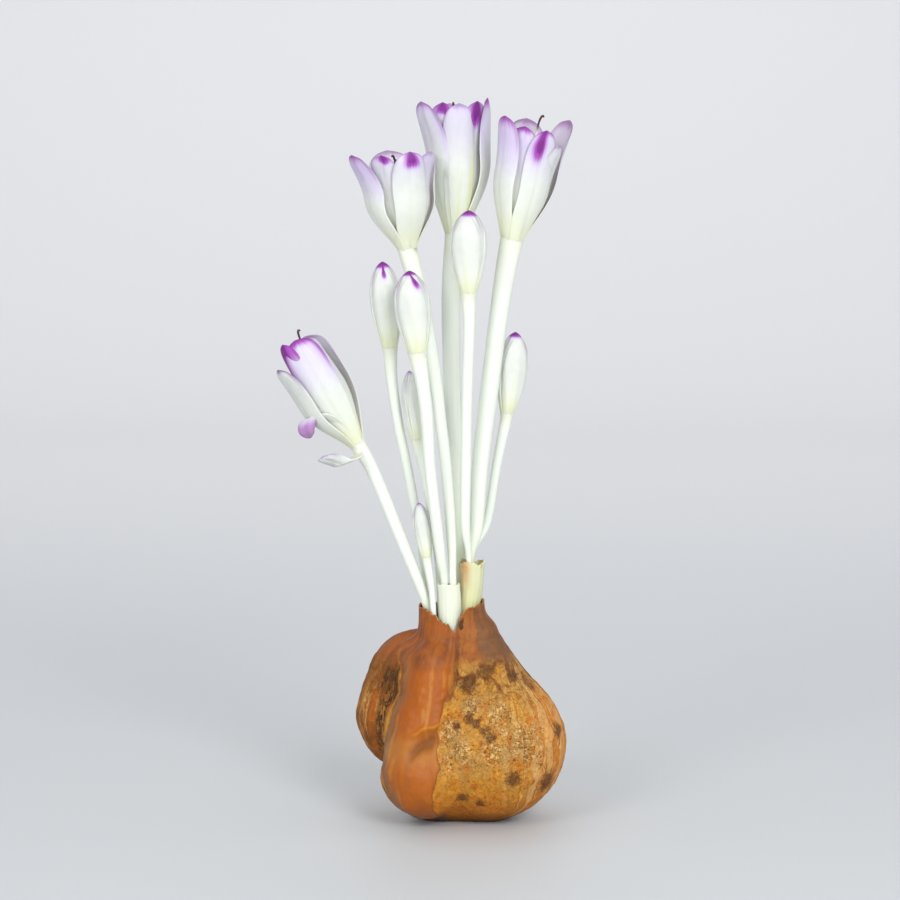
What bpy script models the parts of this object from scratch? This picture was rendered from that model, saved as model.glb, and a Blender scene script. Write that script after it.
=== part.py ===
"""A colchicum corm in flower, standing dry on its own base.

A lobed, brown-skinned corm carries ten flowers in its open neck: four that are open, and six buds.
Each flower is one long white tube with its six tepals. Two pale sheaths hold some of the tubes together.
The frame is +Z up, with the origin at the middle of the flat spot that the corm rests on.
Flowers face -Y. Lengths in the tables below are millimetres.
"""

import math

import bmesh
import bpy
import numpy as np
from mathutils import Vector

MM = 0.001
CLEARANCE = 0.3
WELD = 1e-6
SLIVER = 2e-5
HARD_EDGE = math.radians(50)

# The corm is a smooth union of swellings. Each is a tapered capsule: (end, radius, other end, radius).
CORM_LOBES = (
    ((10.0, -2.0, 22.5), 21.5, (9.5, -2.0, 24.5), 21.8),
    ((11.5, -2.0, 25.0), 19.5, (4.0, -1.0, 55.5), 8.0),
    ((-14.5, 6.0, 31.0), 17.0, (-12.0, 6.0, 40.5), 16.5),
    ((-10.5, -9.5, 16.5), 13.5, (-7.0, -6.5, 47.5), 8.0),
    ((0.0, 9.0, 16.5), 16.5, (-2.0, 5.0, 46.0), 10.0),
    ((-7.0, 0.0, 10.5), 11.5, (8.0, 0.0, 10.5), 11.5),
)
CORM_BLEND = 1.1
CORM_AXIS_TURN = (22.0, 52.0)
CORM_SIDES = 48
CORM_BELLY_RINGS = 24
CORM_COLLAR_RINGS = 4
CORM_PIT_RINGS = 3
CORM_WRINKLE = 0.3
CORM_WRINKLES = 17
CORM_SEARCH = 60.0
CORM_HALVINGS = 40

# The neck: the dry skin stands up round the stems as a thin torn collar over a pit.
NECK_CENTRE = (-2.6, 0.0)
NECK_HALF_WIDTH = 9.9
NECK_HALF_DEPTH = 8.9
NECK_WALL = 0.7
NECK_START = 48.0
COLLAR_START = 54.0
PIT_FLOOR = 47.0
RIM_HEIGHT = 66.2
RIM_SLOPE = 0.5
RIM_FRONT_DIP = 4.6
RIM_DIP_HALF_ANGLE = math.radians(43)
RIM_NOTCH = 3.0
RIM_NOTCH_HALF_ANGLE = math.radians(9)
RIM_TEETH = 0.35
FOOT = PIT_FLOOR + CLEARANCE

# Two pale sheaths in the neck: the middle line from the pit up, and half width and half depth at each point.
SHEATH_WALL = 0.5
SHEATH_SIDES = 16
BORE_OVERRUN = 2.0
SHEATHS = {
    "sheath_front": (
        ((-3.0, -4.3, FOOT), 3.3, 2.6),
        ((-3.0, -4.3, 56.0), 3.3, 2.6),
        ((-3.0, -4.5, 63.0), 3.4, 2.7),
        ((-3.1, -4.7, 68.0), 3.4, 2.7),
        ((-3.5, -5.0, 73.0), 3.3, 2.6),
    ),
    "sheath_right": (
        ((2.5, 0.3, FOOT), 3.1, 4.4),
        ((2.5, 0.3, 57.0), 3.1, 4.4),
        ((2.7, 0.3, 65.0), 3.3, 4.4),
        ((3.2, 0.3, 71.0), 3.7, 4.5),
        ((3.5, 0.3, 79.0), 3.9, 4.6),
    ),
}

# A flower's stations from foot to throat are (x, y, z, tube radius), and its crown is the middle of its mouth.
# A tepal is (azimuth, length share, belly radius, tip radius, half width, droop): azimuth 0 points right and
# 90 backwards, and a tepal with droop rises past its tip's height before it falls back to it.
OPEN_FLOWERS = {
    "flower_upper_left": {
        "stations": (
            (-1.6, -4.3, FOOT, 1.0),
            (-1.7, -4.4, 58.0, 1.0),
            (-2.2, -4.7, 74.5, 1.05),
            (-2.7, -3.0, 88.0, 1.5),
            (-4.2, -1.0, 107.6, 1.7),
            (-6.0, 0.2, 122.6, 1.8),
            (-7.8, 0.8, 136.7, 2.0),
            (-11.7, 1.6, 157.0, 2.4),
            (-15.8, 2.0, 173.0, 2.9),
        ),
        "crown": (-18.7, 1.0, 202.5),
        "tepals": (
            (165, 0.97, 12.4, 15.4, 4.6, 0.0),
            (222, 0.98, 10.0, 10.6, 5.0, 0.0),
            (284, 1.02, 9.6, 9.0, 5.4, 0.0),
            (334, 0.99, 9.6, 9.4, 5.2, 0.0),
            (30, 0.99, 9.0, 9.6, 5.0, 0.0),
            (95, 0.98, 9.0, 9.0, 5.0, 0.0),
        ),
    },
    "flower_upper_middle": {
        "stations": (
            (-2.0, 5.0, FOOT, 1.3),
            (-2.0, 5.0, 58.0, 1.35),
            (-0.8, 5.8, 70.0, 1.6),
            (-0.2, 6.8, 79.1, 1.9),
            (-1.1, 9.2, 109.4, 2.3),
            (-2.4, 11.0, 130.6, 2.6),
            (-2.7, 13.2, 157.7, 2.9),
            (-1.5, 14.4, 176.5, 3.1),
        ),
        "crown": (-2.1, 15.0, 217.0),
        "tepals": (
            (196, 1.03, 10.6, 9.6, 5.2, 0.0),
            (246, 0.99, 9.8, 8.8, 4.8, 0.0),
            (290, 0.96, 10.0, 8.5, 5.6, 0.0),
            (338, 0.99, 11.2, 8.2, 5.2, 0.0),
            (26, 1.03, 10.2, 9.6, 5.2, 0.0),
            (104, 0.98, 9.0, 8.0, 5.0, 0.0),
        ),
    },
    "flower_upper_right": {
        "stations": (
            (2.6, 0.3, FOOT, 1.25),
            (2.6, 0.3, 58.0, 1.25),
            (3.1, 0.3, 79.5, 1.25),
            (4.8, 1.0, 89.0, 2.1),
            (6.0, 2.0, 107.2, 2.5),
            (8.5, 3.2, 128.3, 2.75),
            (11.1, 4.2, 149.3, 2.8),
            (13.4, 4.8, 165.0, 3.1),
            (15.4, 5.0, 175.5, 3.5),
        ),
        "crown": (21.9, 3.5, 211.0),
        "tepals": (
            (186, 1.04, 9.0, 7.0, 5.4, 0.0),
            (244, 0.97, 9.8, 5.2, 5.8, 0.0),
            (300, 0.95, 9.6, 5.2, 5.6, 0.0),
            (350, 1.01, 10.0, 10.2, 5.4, 0.0),
            (44, 0.88, 9.8, 8.6, 5.0, 0.0),
            (98, 1.02, 8.8, 6.4, 5.4, 0.0),
        ),
    },
    "flower_leaning": {
        "stations": (
            (-8.9, -1.0, FOOT, 1.45),
            (-9.0, -1.0, 57.0, 1.5),
            (-9.1, -1.0, 63.0, 1.5),
            (-10.6, -1.2, 68.2, 1.65),
            (-18.0, -2.4, 86.7, 1.85),
            (-25.7, -3.6, 106.0, 1.95),
            (-30.6, -4.6, 115.0, 2.4),
        ),
        "crown": (-46.2, -7.0, 146.6),
        "tepals": (
            (178, 0.98, 8.0, 5.4, 5.2, 0.0),
            (262, 1.03, 8.0, 4.4, 7.4, 0.0),
            (12, 0.97, 6.4, 5.2, 5.6, 0.0),
            (80, 0.98, 7.6, 5.0, 6.0, 0.0),
            (200, 0.28, 9.6, 13.0, 4.4, 1.2),
            (226, 0.10, 9.4, 13.0, 4.4, -0.3),
        ),
    },
}

# A bud's tepals are closed over its tip. "girth" is its largest radius, and "turn" is the azimuth of one tepal.
BUDS = {
    "bud_middle_high": {
        "stations": (
            (2.5, -2.2, FOOT, 0.85),
            (2.5, -2.2, 58.0, 0.85),
            (2.7, -2.2, 79.5, 0.85),
            (1.6, -3.8, 90.0, 1.4),
            (1.7, -4.6, 108.1, 1.6),
            (2.0, -5.8, 129.2, 1.65),
            (2.6, -6.8, 150.2, 1.75),
            (2.4, -7.0, 159.0, 2.2),
        ),
        "tip": (2.5, -8.0, 185.8),
        "girth": 5.3,
        "turn": 20,
    },
    "bud_left_high": {
        "stations": (
            (-8.6, 2.6, FOOT, 1.1),
            (-8.6, 2.6, 58.0, 1.15),
            (-9.4, 2.6, 68.5, 1.25),
            (-11.5, 2.3, 82.8, 1.35),
            (-14.2, 1.8, 98.2, 1.45),
            (-16.3, 1.4, 109.4, 1.5),
            (-18.4, 1.0, 119.5, 1.55),
            (-20.4, 0.6, 133.1, 1.7),
            (-20.9, 0.3, 142.1, 2.1),
        ),
        "tip": (-23.3, -0.5, 170.3),
        "girth": 4.4,
        "turn": 70,
    },
    "bud_centre": {
        "stations": (
            (-4.4, -4.3, FOOT, 1.0),
            (-4.4, -4.4, 58.0, 1.0),
            (-4.7, -5.0, 73.5, 1.05),
            (-5.6, -6.3, 80.0, 1.45),
            (-6.9, -8.2, 90.5, 1.7),
            (-9.0, -10.0, 108.8, 1.75),
            (-9.9, -11.2, 123.9, 1.9),
            (-11.3, -11.8, 135.2, 2.1),
            (-12.5, -12.0, 141.8, 2.6),
        ),
        "tip": (-15.1, -13.0, 168.3),
        "girth": 5.1,
        "turn": 5,
    },
    "bud_right": {
        "stations": (
            (2.9, 2.8, FOOT, 0.85),
            (2.9, 2.8, 58.0, 0.85),
            (3.5, 2.8, 79.5, 0.85),
            (8.2, 6.0, 90.0, 1.3),
            (11.0, 7.8, 106.5, 1.4),
            (14.0, 8.6, 121.5, 1.8),
        ),
        "tip": (16.8, 8.4, 148.5),
        "girth": 4.1,
        "turn": 45,
    },
    "bud_low": {
        "stations": (
            (-7.9, -4.6, FOOT, 0.8),
            (-7.9, -4.5, 58.0, 0.85),
            (-8.4, -4.4, 70.0, 1.0),
            (-9.9, -4.2, 79.9, 1.4),
        ),
        "tip": (-12.5, -4.2, 98.0),
        "girth": 2.4,
        "turn": 30,
    },
    "bud_hidden": {
        "stations": (
            (-5.6, 0.6, FOOT, 0.95),
            (-5.6, 0.6, 58.0, 1.0),
            (-6.4, 0.6, 77.1, 1.15),
            (-7.9, 0.0, 89.4, 1.3),
            (-10.5, -1.4, 104.8, 1.4),
            (-12.7, -2.4, 115.0, 1.7),
        ),
        "tip": (-15.2, -3.4, 137.8),
        "girth": 2.8,
        "turn": 60,
    },
}
TUBE_STEPS_PER_STATION = 2
TUBE_BEVEL_RESOLUTION = 2
AXIS_BEND = 0.45

# An open tepal. Heights and widths without a unit are shares of the flower's height or of the tepal's half width.
TEPAL_THICKNESS = 0.7
OPEN_TEPAL_GRID = (4, 8)
TEPAL_BASE_OVERLAP = 1.2
TEPAL_WIDEST = 0.68
MIN_TIP_HALF_WIDTH = 0.35
BELLY_HEIGHT = 0.6
THROAT_INSET = 0.6
TEPAL_SINK = 0.03
CUP_SHARE = 1.15
CUP_RISE = 1.6
WHORL_OFFSET = 0.55
WHORL_OFFSET_AT_FOOT = 0.35
WHORL_OFFSET_RISE = 2.2

# The closed tepals of a bud. Its outer ones spread by this angle to each side, and draw together over the tip.
BUD_RINGS = 13
BUD_WIDEST = 0.58
BUD_TOP = 0.97
BUD_TUBE_END = 0.1
BUD_TIP_RADIUS = 0.25
BUD_LAYER = 0.5
BUD_LAYER_RISE = 0.4
BUD_HALF_SPREAD = math.radians(48)
BUD_SPREAD_CLOSES = 0.8
BUD_SPREAD_AT_TIP = 0.3
# Columns of a bud's skin round one outer tepal: place as a share of its half spread, and 1 where it is raised.
BUD_COLUMNS = ((-1.0, 0), (-0.97, 1), (-0.5, 1), (0.0, 1), (0.5, 1), (0.97, 1), (1.0, 0), (2.0, 0))

# Stamens and styles of an open flower stand on the end of its tube. A station is a share of the length, a distance
# out from the column and a radius.
STAMENS = 6
STYLES = 3
STAMEN_SEAT = 0.45
STAMEN_LENGTH_SHARES = (0.55, 0.62)
STYLE_LENGTH_SHARE = 0.93
THREAD_RADIUS = 0.32
STAMEN_STATIONS = ((0.6, 1.3, 0.26), (0.78, 2.2, 0.22), (0.82, 2.4, 0.8), (0.95, 2.9, 0.72), (1.0, 3.1, 0.32))
STYLE_STATIONS = ((0.6, 0.0, 0.29), (1.0, 0.9, 0.32))
COLUMN_HEIGHT = 2.0
COLUMN_RADIUS_SHARE = 0.45
COLUMN_TAPER = 0.8

# Colours are linear RGB.
TUNIC_BROWN = (0.42, 0.17, 0.06)
SHEATH_WHITE = (0.78, 0.80, 0.62)
TEPAL_WHITE = (0.80, 0.78, 0.80)
STAMEN_YELLOW = (0.80, 0.52, 0.12)


def clear_scene():
    for obj in list(bpy.data.objects):
        bpy.data.objects.remove(obj, do_unlink=True)


def make_material(name, colour, roughness):
    material = bpy.data.materials.new(name)
    material.use_nodes = True
    shader = material.node_tree.nodes["Principled BSDF"]
    shader.inputs["Base Color"].default_value = (*colour, 1.0)
    shader.inputs["Roughness"].default_value = roughness
    return material


def make_collection(name):
    collection = bpy.data.collections.new(name)
    bpy.context.scene.collection.children.link(collection)
    return collection


def link_mesh(name, mesh, collection):
    obj = bpy.data.objects.new(name, mesh)
    collection.objects.link(obj)
    return obj


def evaluated_mesh(obj):
    """The object's mesh with its modifiers or bevel, welded where caps meet sides."""
    graph = bpy.context.evaluated_depsgraph_get()
    mesh = bpy.data.meshes.new_from_object(obj.evaluated_get(graph))
    bm = bmesh.new()
    bm.from_mesh(mesh)
    bmesh.ops.remove_doubles(bm, verts=bm.verts, dist=WELD)
    bmesh.ops.recalc_face_normals(bm, faces=bm.faces)
    bm.to_mesh(mesh)
    bm.free()
    return mesh


def as_mesh_object(obj, collection):
    """A plain mesh object in place of a curve or of an object with modifiers."""
    name = obj.name
    mesh = evaluated_mesh(obj)
    mesh.transform(obj.matrix_world)
    bpy.data.objects.remove(obj, do_unlink=True)
    return link_mesh(name, mesh, collection)


def fuse(name, base, repeats, material):
    """Joins the objects of a collection to the base as one closed solid."""
    union = base.modifiers.new("Fuse", "BOOLEAN")
    union.operation = "UNION"
    union.operand_type = "COLLECTION"
    union.collection = repeats
    union.solver = "MANIFOLD"
    bpy.context.view_layer.update()
    graph = bpy.context.evaluated_depsgraph_get()
    mesh = bpy.data.meshes.new_from_object(base.evaluated_get(graph))
    for obj in [base, *repeats.objects]:
        bpy.data.objects.remove(obj, do_unlink=True)
    bpy.data.collections.remove(repeats)
    fill_pockets(mesh)
    return finish(name, mesh, material)


def fill_pockets(mesh):
    """Leaves only the largest shell of a mesh, which fills the closed pockets between blades that cross."""
    bm = bmesh.new()
    bm.from_mesh(mesh)
    bmesh.ops.dissolve_degenerate(bm, edges=bm.edges, dist=SLIVER)
    shells = []
    waiting = set(bm.faces)
    while waiting:
        shell = [waiting.pop()]
        for face in shell:
            near = {other for edge in face.edges for other in edge.link_faces} & waiting
            waiting -= near
            shell.extend(near)
        shells.append(shell)
    largest = max(shells, key=len)
    small = [face for shell in shells if shell is not largest for face in shell]
    bmesh.ops.delete(bm, geom=small, context="FACES")
    bm.to_mesh(mesh)
    bm.free()


def finish(name, mesh, material):
    """A node of the object: its mesh, its material, and soft shading with its hard edges kept."""
    mesh.materials.clear()
    mesh.materials.append(material)
    obj = link_mesh(name, mesh, bpy.data.collections["Colchicum"])
    mesh.shade_smooth()
    mesh.set_sharp_from_angle(angle=HARD_EDGE)
    return obj


def smooth_route(points, steps):
    """A Catmull-Rom curve through rows of numbers, with the given steps between each two."""
    rows = np.array(points, float)
    rows = np.vstack([2 * rows[0] - rows[1], rows, 2 * rows[-1] - rows[-2]])
    found = []
    for a, b, c, d in zip(rows, rows[1:], rows[2:], rows[3:]):
        for t in np.arange(steps) / steps:
            found.append(
                0.5 * (2 * b + (c - a) * t + (2 * a - 5 * b + 4 * c - d) * t**2 + (3 * b - a - 3 * c + d) * t**3)
            )
    found.append(rows[-2])
    return np.array(found)


def curve_tube(name, rows, resolution, collection):
    """A round tube with filled ends through rows of x, y, z and radius, as a mesh object."""
    data = bpy.data.curves.new(name, "CURVE")
    data.dimensions = "3D"
    data.bevel_depth = MM
    data.bevel_resolution = resolution
    data.use_fill_caps = True
    spline = data.splines.new("POLY")
    spline.points.add(len(rows) - 1)
    for point, (x, y, z, radius) in zip(spline.points, rows):
        point.co = (x * MM, y * MM, z * MM, 1.0)
        point.radius = radius
    obj = bpy.data.objects.new(name, data)
    collection.objects.link(obj)
    bpy.context.view_layer.update()
    return as_mesh_object(obj, collection)


class Axis:
    """The middle line of a flower above its throat: an arc that leaves the tube straight and ends at the crown."""

    def __init__(self, stations, crown):
        self.start = Vector(stations[-1][:3])
        self.end = Vector(crown)
        self.length = (self.end - self.start).length
        leaving = (self.end - Vector(stations[-2][:3])).normalized()
        self.bend = self.start + leaving * self.length * AXIS_BEND

    def point(self, share):
        t = min(max(share, 0.0), 1.0)
        on_arc = (1 - t) ** 2 * self.start + 2 * t * (1 - t) * self.bend + t**2 * self.end
        return on_arc + self.direction(t) * (share - t) * self.length

    def direction(self, share):
        t = min(max(share, 0.0), 1.0)
        return ((1 - t) * (self.bend - self.start) + t * (self.end - self.bend)).normalized()

    def place(self, share, outwards, sideways, azimuth):
        """The point at a height share, so far out along an azimuth and so far to its side."""
        up = self.direction(share)
        right = (Vector((1, 0, 0)) - up * up.x).normalized()
        back = up.cross(right)
        out = right * math.cos(azimuth) + back * math.sin(azimuth)
        side = up.cross(out)
        return self.point(share) + out * outwards + side * sideways


def tepal_outline(along, base_share):
    """Half width along a tepal as a share of its largest: a narrow claw, a broad blade and a rounded tip."""
    if along < TEPAL_WIDEST:
        return base_share + (1 - base_share) * math.sin(math.pi / 2 * along / TEPAL_WIDEST) ** 1.3
    return max(0.0, 1 - ((along - TEPAL_WIDEST) / (1 - TEPAL_WIDEST)) ** 2.6) ** 0.5


def funnel(low, middle, high, along):
    """Radius of a funnel along its height: slow at its throat, then widest or still opening towards its tips."""
    t = min(1.0, along / BELLY_HEIGHT)
    above = max(0.0, along - BELLY_HEIGHT) / (1 - BELLY_HEIGHT)
    return low + (middle - low) * t * t * (3 - 2 * t) + (high - middle) * above**1.5


def open_tepal_point(axis, tube_radius, tepal, offset, across, along):
    """A point of an open tepal's middle surface: across runs from -1 to 1, along from 0 to 1."""
    azimuth, length, belly, tip, half_width, droop = tepal
    rise = min(1.0, WHORL_OFFSET_AT_FOOT + WHORL_OFFSET_RISE * along)
    radius = funnel(tube_radius - THROAT_INSET, belly, tip, along) + offset * rise
    base_share = TEPAL_BASE_OVERLAP * tube_radius * math.pi / 6 / half_width
    width = max(MIN_TIP_HALF_WIDTH, half_width * tepal_outline(along, base_share))
    cup = radius + (half_width * CUP_SHARE - radius) * min(1.0, along * CUP_RISE)
    angle = width * across / cup
    height = along * (length + TEPAL_SINK + droop) - droop * along * along - TEPAL_SINK
    out = radius - cup * (1 - math.cos(angle))
    return axis.place(height, out, cup * math.sin(angle), math.radians(azimuth))


def bud_radius(girth, tube_radius, along):
    """Radius of a closed bud: swelling from its tube to its girth, and closing to a blunt tip."""
    if along < BUD_WIDEST:
        return tube_radius + (girth - tube_radius) * math.sin(math.pi / 2 * along / BUD_WIDEST) ** 1.6
    return girth * max(0.0, 1 - ((along - BUD_WIDEST) / (1 - BUD_WIDEST)) ** 2.2) ** 0.6


def sheet_from(name, point_at, grid, thickness, collection):
    """A closed thin blade: a grid bent to shape and given a thickness."""
    bm = bmesh.new()
    bmesh.ops.create_grid(bm, x_segments=grid[0], y_segments=grid[1], size=1.0)
    for vert in bm.verts:
        along = (vert.co.y + 1) / 2
        vert.co = point_at(vert.co.x, 0.6 * along + 0.4 * math.sin(math.pi / 2 * along)) * MM
    mesh = bpy.data.meshes.new(name)
    bm.to_mesh(mesh)
    bm.free()
    obj = link_mesh(name, mesh, collection)
    wall = obj.modifiers.new("Thickness", "SOLIDIFY")
    wall.thickness = thickness * MM
    wall.offset = 0.0
    bpy.context.view_layer.update()
    return as_mesh_object(obj, collection)


def make_tube(name, stations, collection):
    return curve_tube(name, smooth_route(stations, TUBE_STEPS_PER_STATION), TUBE_BEVEL_RESOLUTION, collection)


def make_open_flower(name, flower, material):
    """The tube and six open tepals of one flower, as one solid."""
    axis = Axis(flower["stations"], flower["crown"])
    tube_radius = flower["stations"][-1][3]
    tube = make_tube(name + "_tube", flower["stations"], bpy.data.collections["Colchicum"])
    blades = make_collection(name + "_tepals")
    for number, tepal in enumerate(flower["tepals"]):
        offset = WHORL_OFFSET if number % 2 == 0 else -WHORL_OFFSET

        def point_at(across, along, tepal=tepal, offset=offset):
            return open_tepal_point(axis, tube_radius, tepal, offset, across, along)

        sheet_from(f"tepal_{number}", point_at, OPEN_TEPAL_GRID, TEPAL_THICKNESS, blades)
    return fuse(name, tube, blades, material)


def bud_column(column, along):
    """Angle of a column of a bud's skin, and how far it is raised where it belongs to an outer tepal."""
    tepal, place = divmod(column, len(BUD_COLUMNS))
    share, raised = BUD_COLUMNS[place]
    closing = max(0.0, 2 * along - 1)
    half_spread = BUD_HALF_SPREAD * max(BUD_SPREAD_AT_TIP, 1 - BUD_SPREAD_CLOSES * closing**2)
    angle = half_spread * share if abs(share) <= 1.0 else math.pi / 3
    return 2 * math.pi * tepal / 3 + angle, BUD_LAYER * raised * min(1.0, along / BUD_LAYER_RISE)


def make_bud(name, bud, material):
    """The tube and the closed tepals of one bud, as one solid: three outer tepals lie over the inner ones."""
    axis = Axis(bud["stations"], bud["tip"])
    tube_radius = bud["stations"][-1][3]
    sides = 3 * len(BUD_COLUMNS)
    stations = (*bud["stations"], (*axis.point(BUD_TUBE_END), tube_radius))
    tube = make_tube(name + "_tube", stations, bpy.data.collections["Colchicum"])
    bm = bmesh.new()
    bmesh.ops.create_uvsphere(bm, u_segments=sides, v_segments=BUD_RINGS, radius=1.0)
    for vert in bm.verts:
        along = 0.5 + math.asin(max(-1.0, min(1.0, vert.co.z))) / math.pi
        beside = math.hypot(vert.co.x, vert.co.y) > WELD
        column = round(math.atan2(vert.co.y, vert.co.x) / (2 * math.pi) * sides) % sides
        angle, lift = bud_column(column, along)
        radius = max(BUD_TIP_RADIUS, bud_radius(bud["girth"], tube_radius, BUD_TOP * along)) + lift
        radius = radius if beside else 0.0
        vert.co = axis.place(along - TEPAL_SINK, radius, 0.0, angle + math.radians(bud["turn"])) * MM
    mesh = bpy.data.meshes.new(name)
    bmesh.ops.recalc_face_normals(bm, faces=bm.faces)
    bm.to_mesh(mesh)
    bm.free()
    bodies = make_collection(name + "_body")
    link_mesh(name, mesh, bodies)
    return fuse(name, tube, bodies, material)


def make_stamens(name, flower, material):
    """Six stamens and three styles on one short column, which stands on the end of the flower's tube."""
    axis = Axis(flower["stations"], flower["crown"])
    tube_radius = flower["stations"][-1][3]
    column_radius = tube_radius * COLUMN_RADIUS_SHARE
    floor = STAMEN_SEAT / axis.length
    top = floor + COLUMN_HEIGHT / axis.length
    start = (floor + top) / 2

    def row(share, outwards, azimuth, radius):
        return (*axis.place(share, outwards, 0.0, azimuth), radius)

    def thread(thread_name, length, foot, azimuth, stations):
        rows = [row(start, foot, azimuth, THREAD_RADIUS)]
        for share, outwards, radius in stations:
            rows.append(row(length * share, column_radius + outwards, azimuth, radius))
        curve_tube(thread_name, rows, 0, threads)

    column = [row(floor, 0, 0, column_radius), row(top, 0, 0, column_radius * COLUMN_TAPER)]
    base = curve_tube(name + "_column", column, TUBE_BEVEL_RESOLUTION, bpy.data.collections["Colchicum"])
    threads = make_collection(name + "_threads")
    for number in range(STAMENS):
        azimuth = 2 * math.pi * (number + 0.5) / STAMENS
        thread(f"stamen_{number}", STAMEN_LENGTH_SHARES[number % 2], column_radius / 2, azimuth, STAMEN_STATIONS)
    for number in range(STYLES):
        azimuth = 2 * math.pi * number / STYLES
        thread(f"style_{number}", STYLE_LENGTH_SHARE, column_radius / 4, azimuth, STYLE_STATIONS)
    return fuse(name, base, threads, material)


def corm_field(x, y, z):
    """Negative inside the corm: a smooth union of its lobes and its neck."""
    parts = []
    for (ax, ay, az), ra, (bx, by, bz), rb in CORM_LOBES:
        dx, dy, dz = bx - ax, by - ay, bz - az
        h = ((x - ax) * dx + (y - ay) * dy + (z - az) * dz) / (dx * dx + dy * dy + dz * dz)
        h = np.clip(h, 0.0, 1.0)
        gap = np.sqrt((x - ax - h * dx) ** 2 + (y - ay - h * dy) ** 2 + (z - az - h * dz) ** 2)
        parts.append(gap - (ra + h * (rb - ra)))
    squash = NECK_HALF_WIDTH / NECK_HALF_DEPTH
    column = np.hypot(x - NECK_CENTRE[0], (y - NECK_CENTRE[1]) * squash) - NECK_HALF_WIDTH
    parts.append(column + np.maximum(0.0, NECK_START - z))
    total = sum(np.exp(-part / CORM_BLEND) for part in parts)
    return -CORM_BLEND * np.log(np.maximum(total, 1e-300))


def corm_axis(z):
    """The middle of each level of the corm: it moves from the origin to the neck on the way up."""
    low, high = CORM_AXIS_TURN
    t = np.clip((z - low) / (high - low), 0.0, 1.0)
    t = t * t * (3 - 2 * t)
    return NECK_CENTRE[0] * t, NECK_CENTRE[1] * t


def corm_radius(angle, z):
    """How far the corm's skin is from its middle at a level, by halving the interval that holds it."""
    cx, cy = corm_axis(z)
    near, far = np.zeros_like(angle), np.full_like(angle, CORM_SEARCH)
    for _ in range(CORM_HALVINGS):
        middle = (near + far) / 2
        outside = corm_field(cx + middle * np.cos(angle), cy + middle * np.sin(angle), z) > 0
        far = np.where(outside, middle, far)
        near = np.where(outside, near, middle)
    return (near + far) / 2


def rim_height(angle):
    """Top of the torn collar: highest at the back and sides, dipping in front to a notch."""
    from_front = np.abs((angle + math.pi / 2 + math.pi) % (2 * math.pi) - math.pi)
    dip = RIM_FRONT_DIP * np.exp(-((from_front / RIM_DIP_HALF_ANGLE) ** 2))
    notch = RIM_NOTCH * np.clip(1.4 - from_front / RIM_NOTCH_HALF_ANGLE, 0.0, 1.0)
    teeth = RIM_TEETH * (np.sin(5 * angle + 1.0) + 0.6 * np.sin(11 * angle))
    return RIM_HEIGHT + RIM_SLOPE * np.cos(angle) - dip - notch + teeth


def neck_radius(angle, inset):
    """Distance from the neck's middle to its oval wall, less an inset."""
    a, b = NECK_HALF_WIDTH - inset, NECK_HALF_DEPTH - inset
    return a * b / np.sqrt((b * np.cos(angle)) ** 2 + (a * np.sin(angle)) ** 2)


def corm_rings(angle):
    """Rings of radius and height: from the middle of the base up to the rim, and down into the pit."""
    rings = []
    base = corm_radius(angle, np.zeros_like(angle))
    rings.append((base * 0.5, np.zeros_like(angle)))
    rings.append((base, np.zeros_like(angle)))
    for number in range(1, CORM_BELLY_RINGS + 1):
        share = number / CORM_BELLY_RINGS
        z = np.full_like(angle, COLLAR_START * (1 - math.cos(math.pi / 2 * share)) ** 0.9)
        wrinkle = CORM_WRINKLE * math.sin(math.pi * share) * np.sin(CORM_WRINKLES * angle + 3 * share)
        rings.append((corm_radius(angle, z) + wrinkle, z))
    rim = rim_height(angle)
    for number in range(1, CORM_COLLAR_RINGS + 1):
        z = COLLAR_START + (rim - COLLAR_START) * number / CORM_COLLAR_RINGS
        rings.append((corm_radius(angle, z), z))
    for number in range(CORM_PIT_RINGS + 1):
        z = rim + (PIT_FLOOR - rim) * number / CORM_PIT_RINGS
        rings.append((neck_radius(angle, NECK_WALL), z))
    rings.append((neck_radius(angle, NECK_WALL) * 0.5, np.full_like(angle, PIT_FLOOR)))
    return rings


def make_corm(material):
    """The lobed corm in its brown skin, with the pit of its neck: a sphere's rings moved to its outline."""
    angles = np.arange(CORM_SIDES) * 2 * math.pi / CORM_SIDES
    rings = corm_rings(angles)
    segments = len(rings) + 1
    bm = bmesh.new()
    bmesh.ops.create_uvsphere(bm, u_segments=CORM_SIDES, v_segments=segments, radius=1.0)
    for vert in bm.verts:
        ring = round((math.pi - math.acos(max(-1.0, min(1.0, vert.co.z)))) / math.pi * segments)
        if ring == 0:
            vert.co = (0, 0, 0)
            continue
        if ring == segments:
            vert.co = Vector((NECK_CENTRE[0], NECK_CENTRE[1], PIT_FLOOR)) * MM
            continue
        side = round(math.atan2(vert.co.y, vert.co.x) / (2 * math.pi) * CORM_SIDES) % CORM_SIDES
        radius, z = rings[ring - 1]
        cx, cy = corm_axis(z[side])
        x = cx + radius[side] * math.cos(angles[side])
        y = cy + radius[side] * math.sin(angles[side])
        vert.co = Vector((x, y, z[side])) * MM
    bmesh.ops.recalc_face_normals(bm, faces=bm.faces)
    mesh = bpy.data.meshes.new("corm")
    bm.to_mesh(mesh)
    bm.free()
    return finish("corm", mesh, material)


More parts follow.
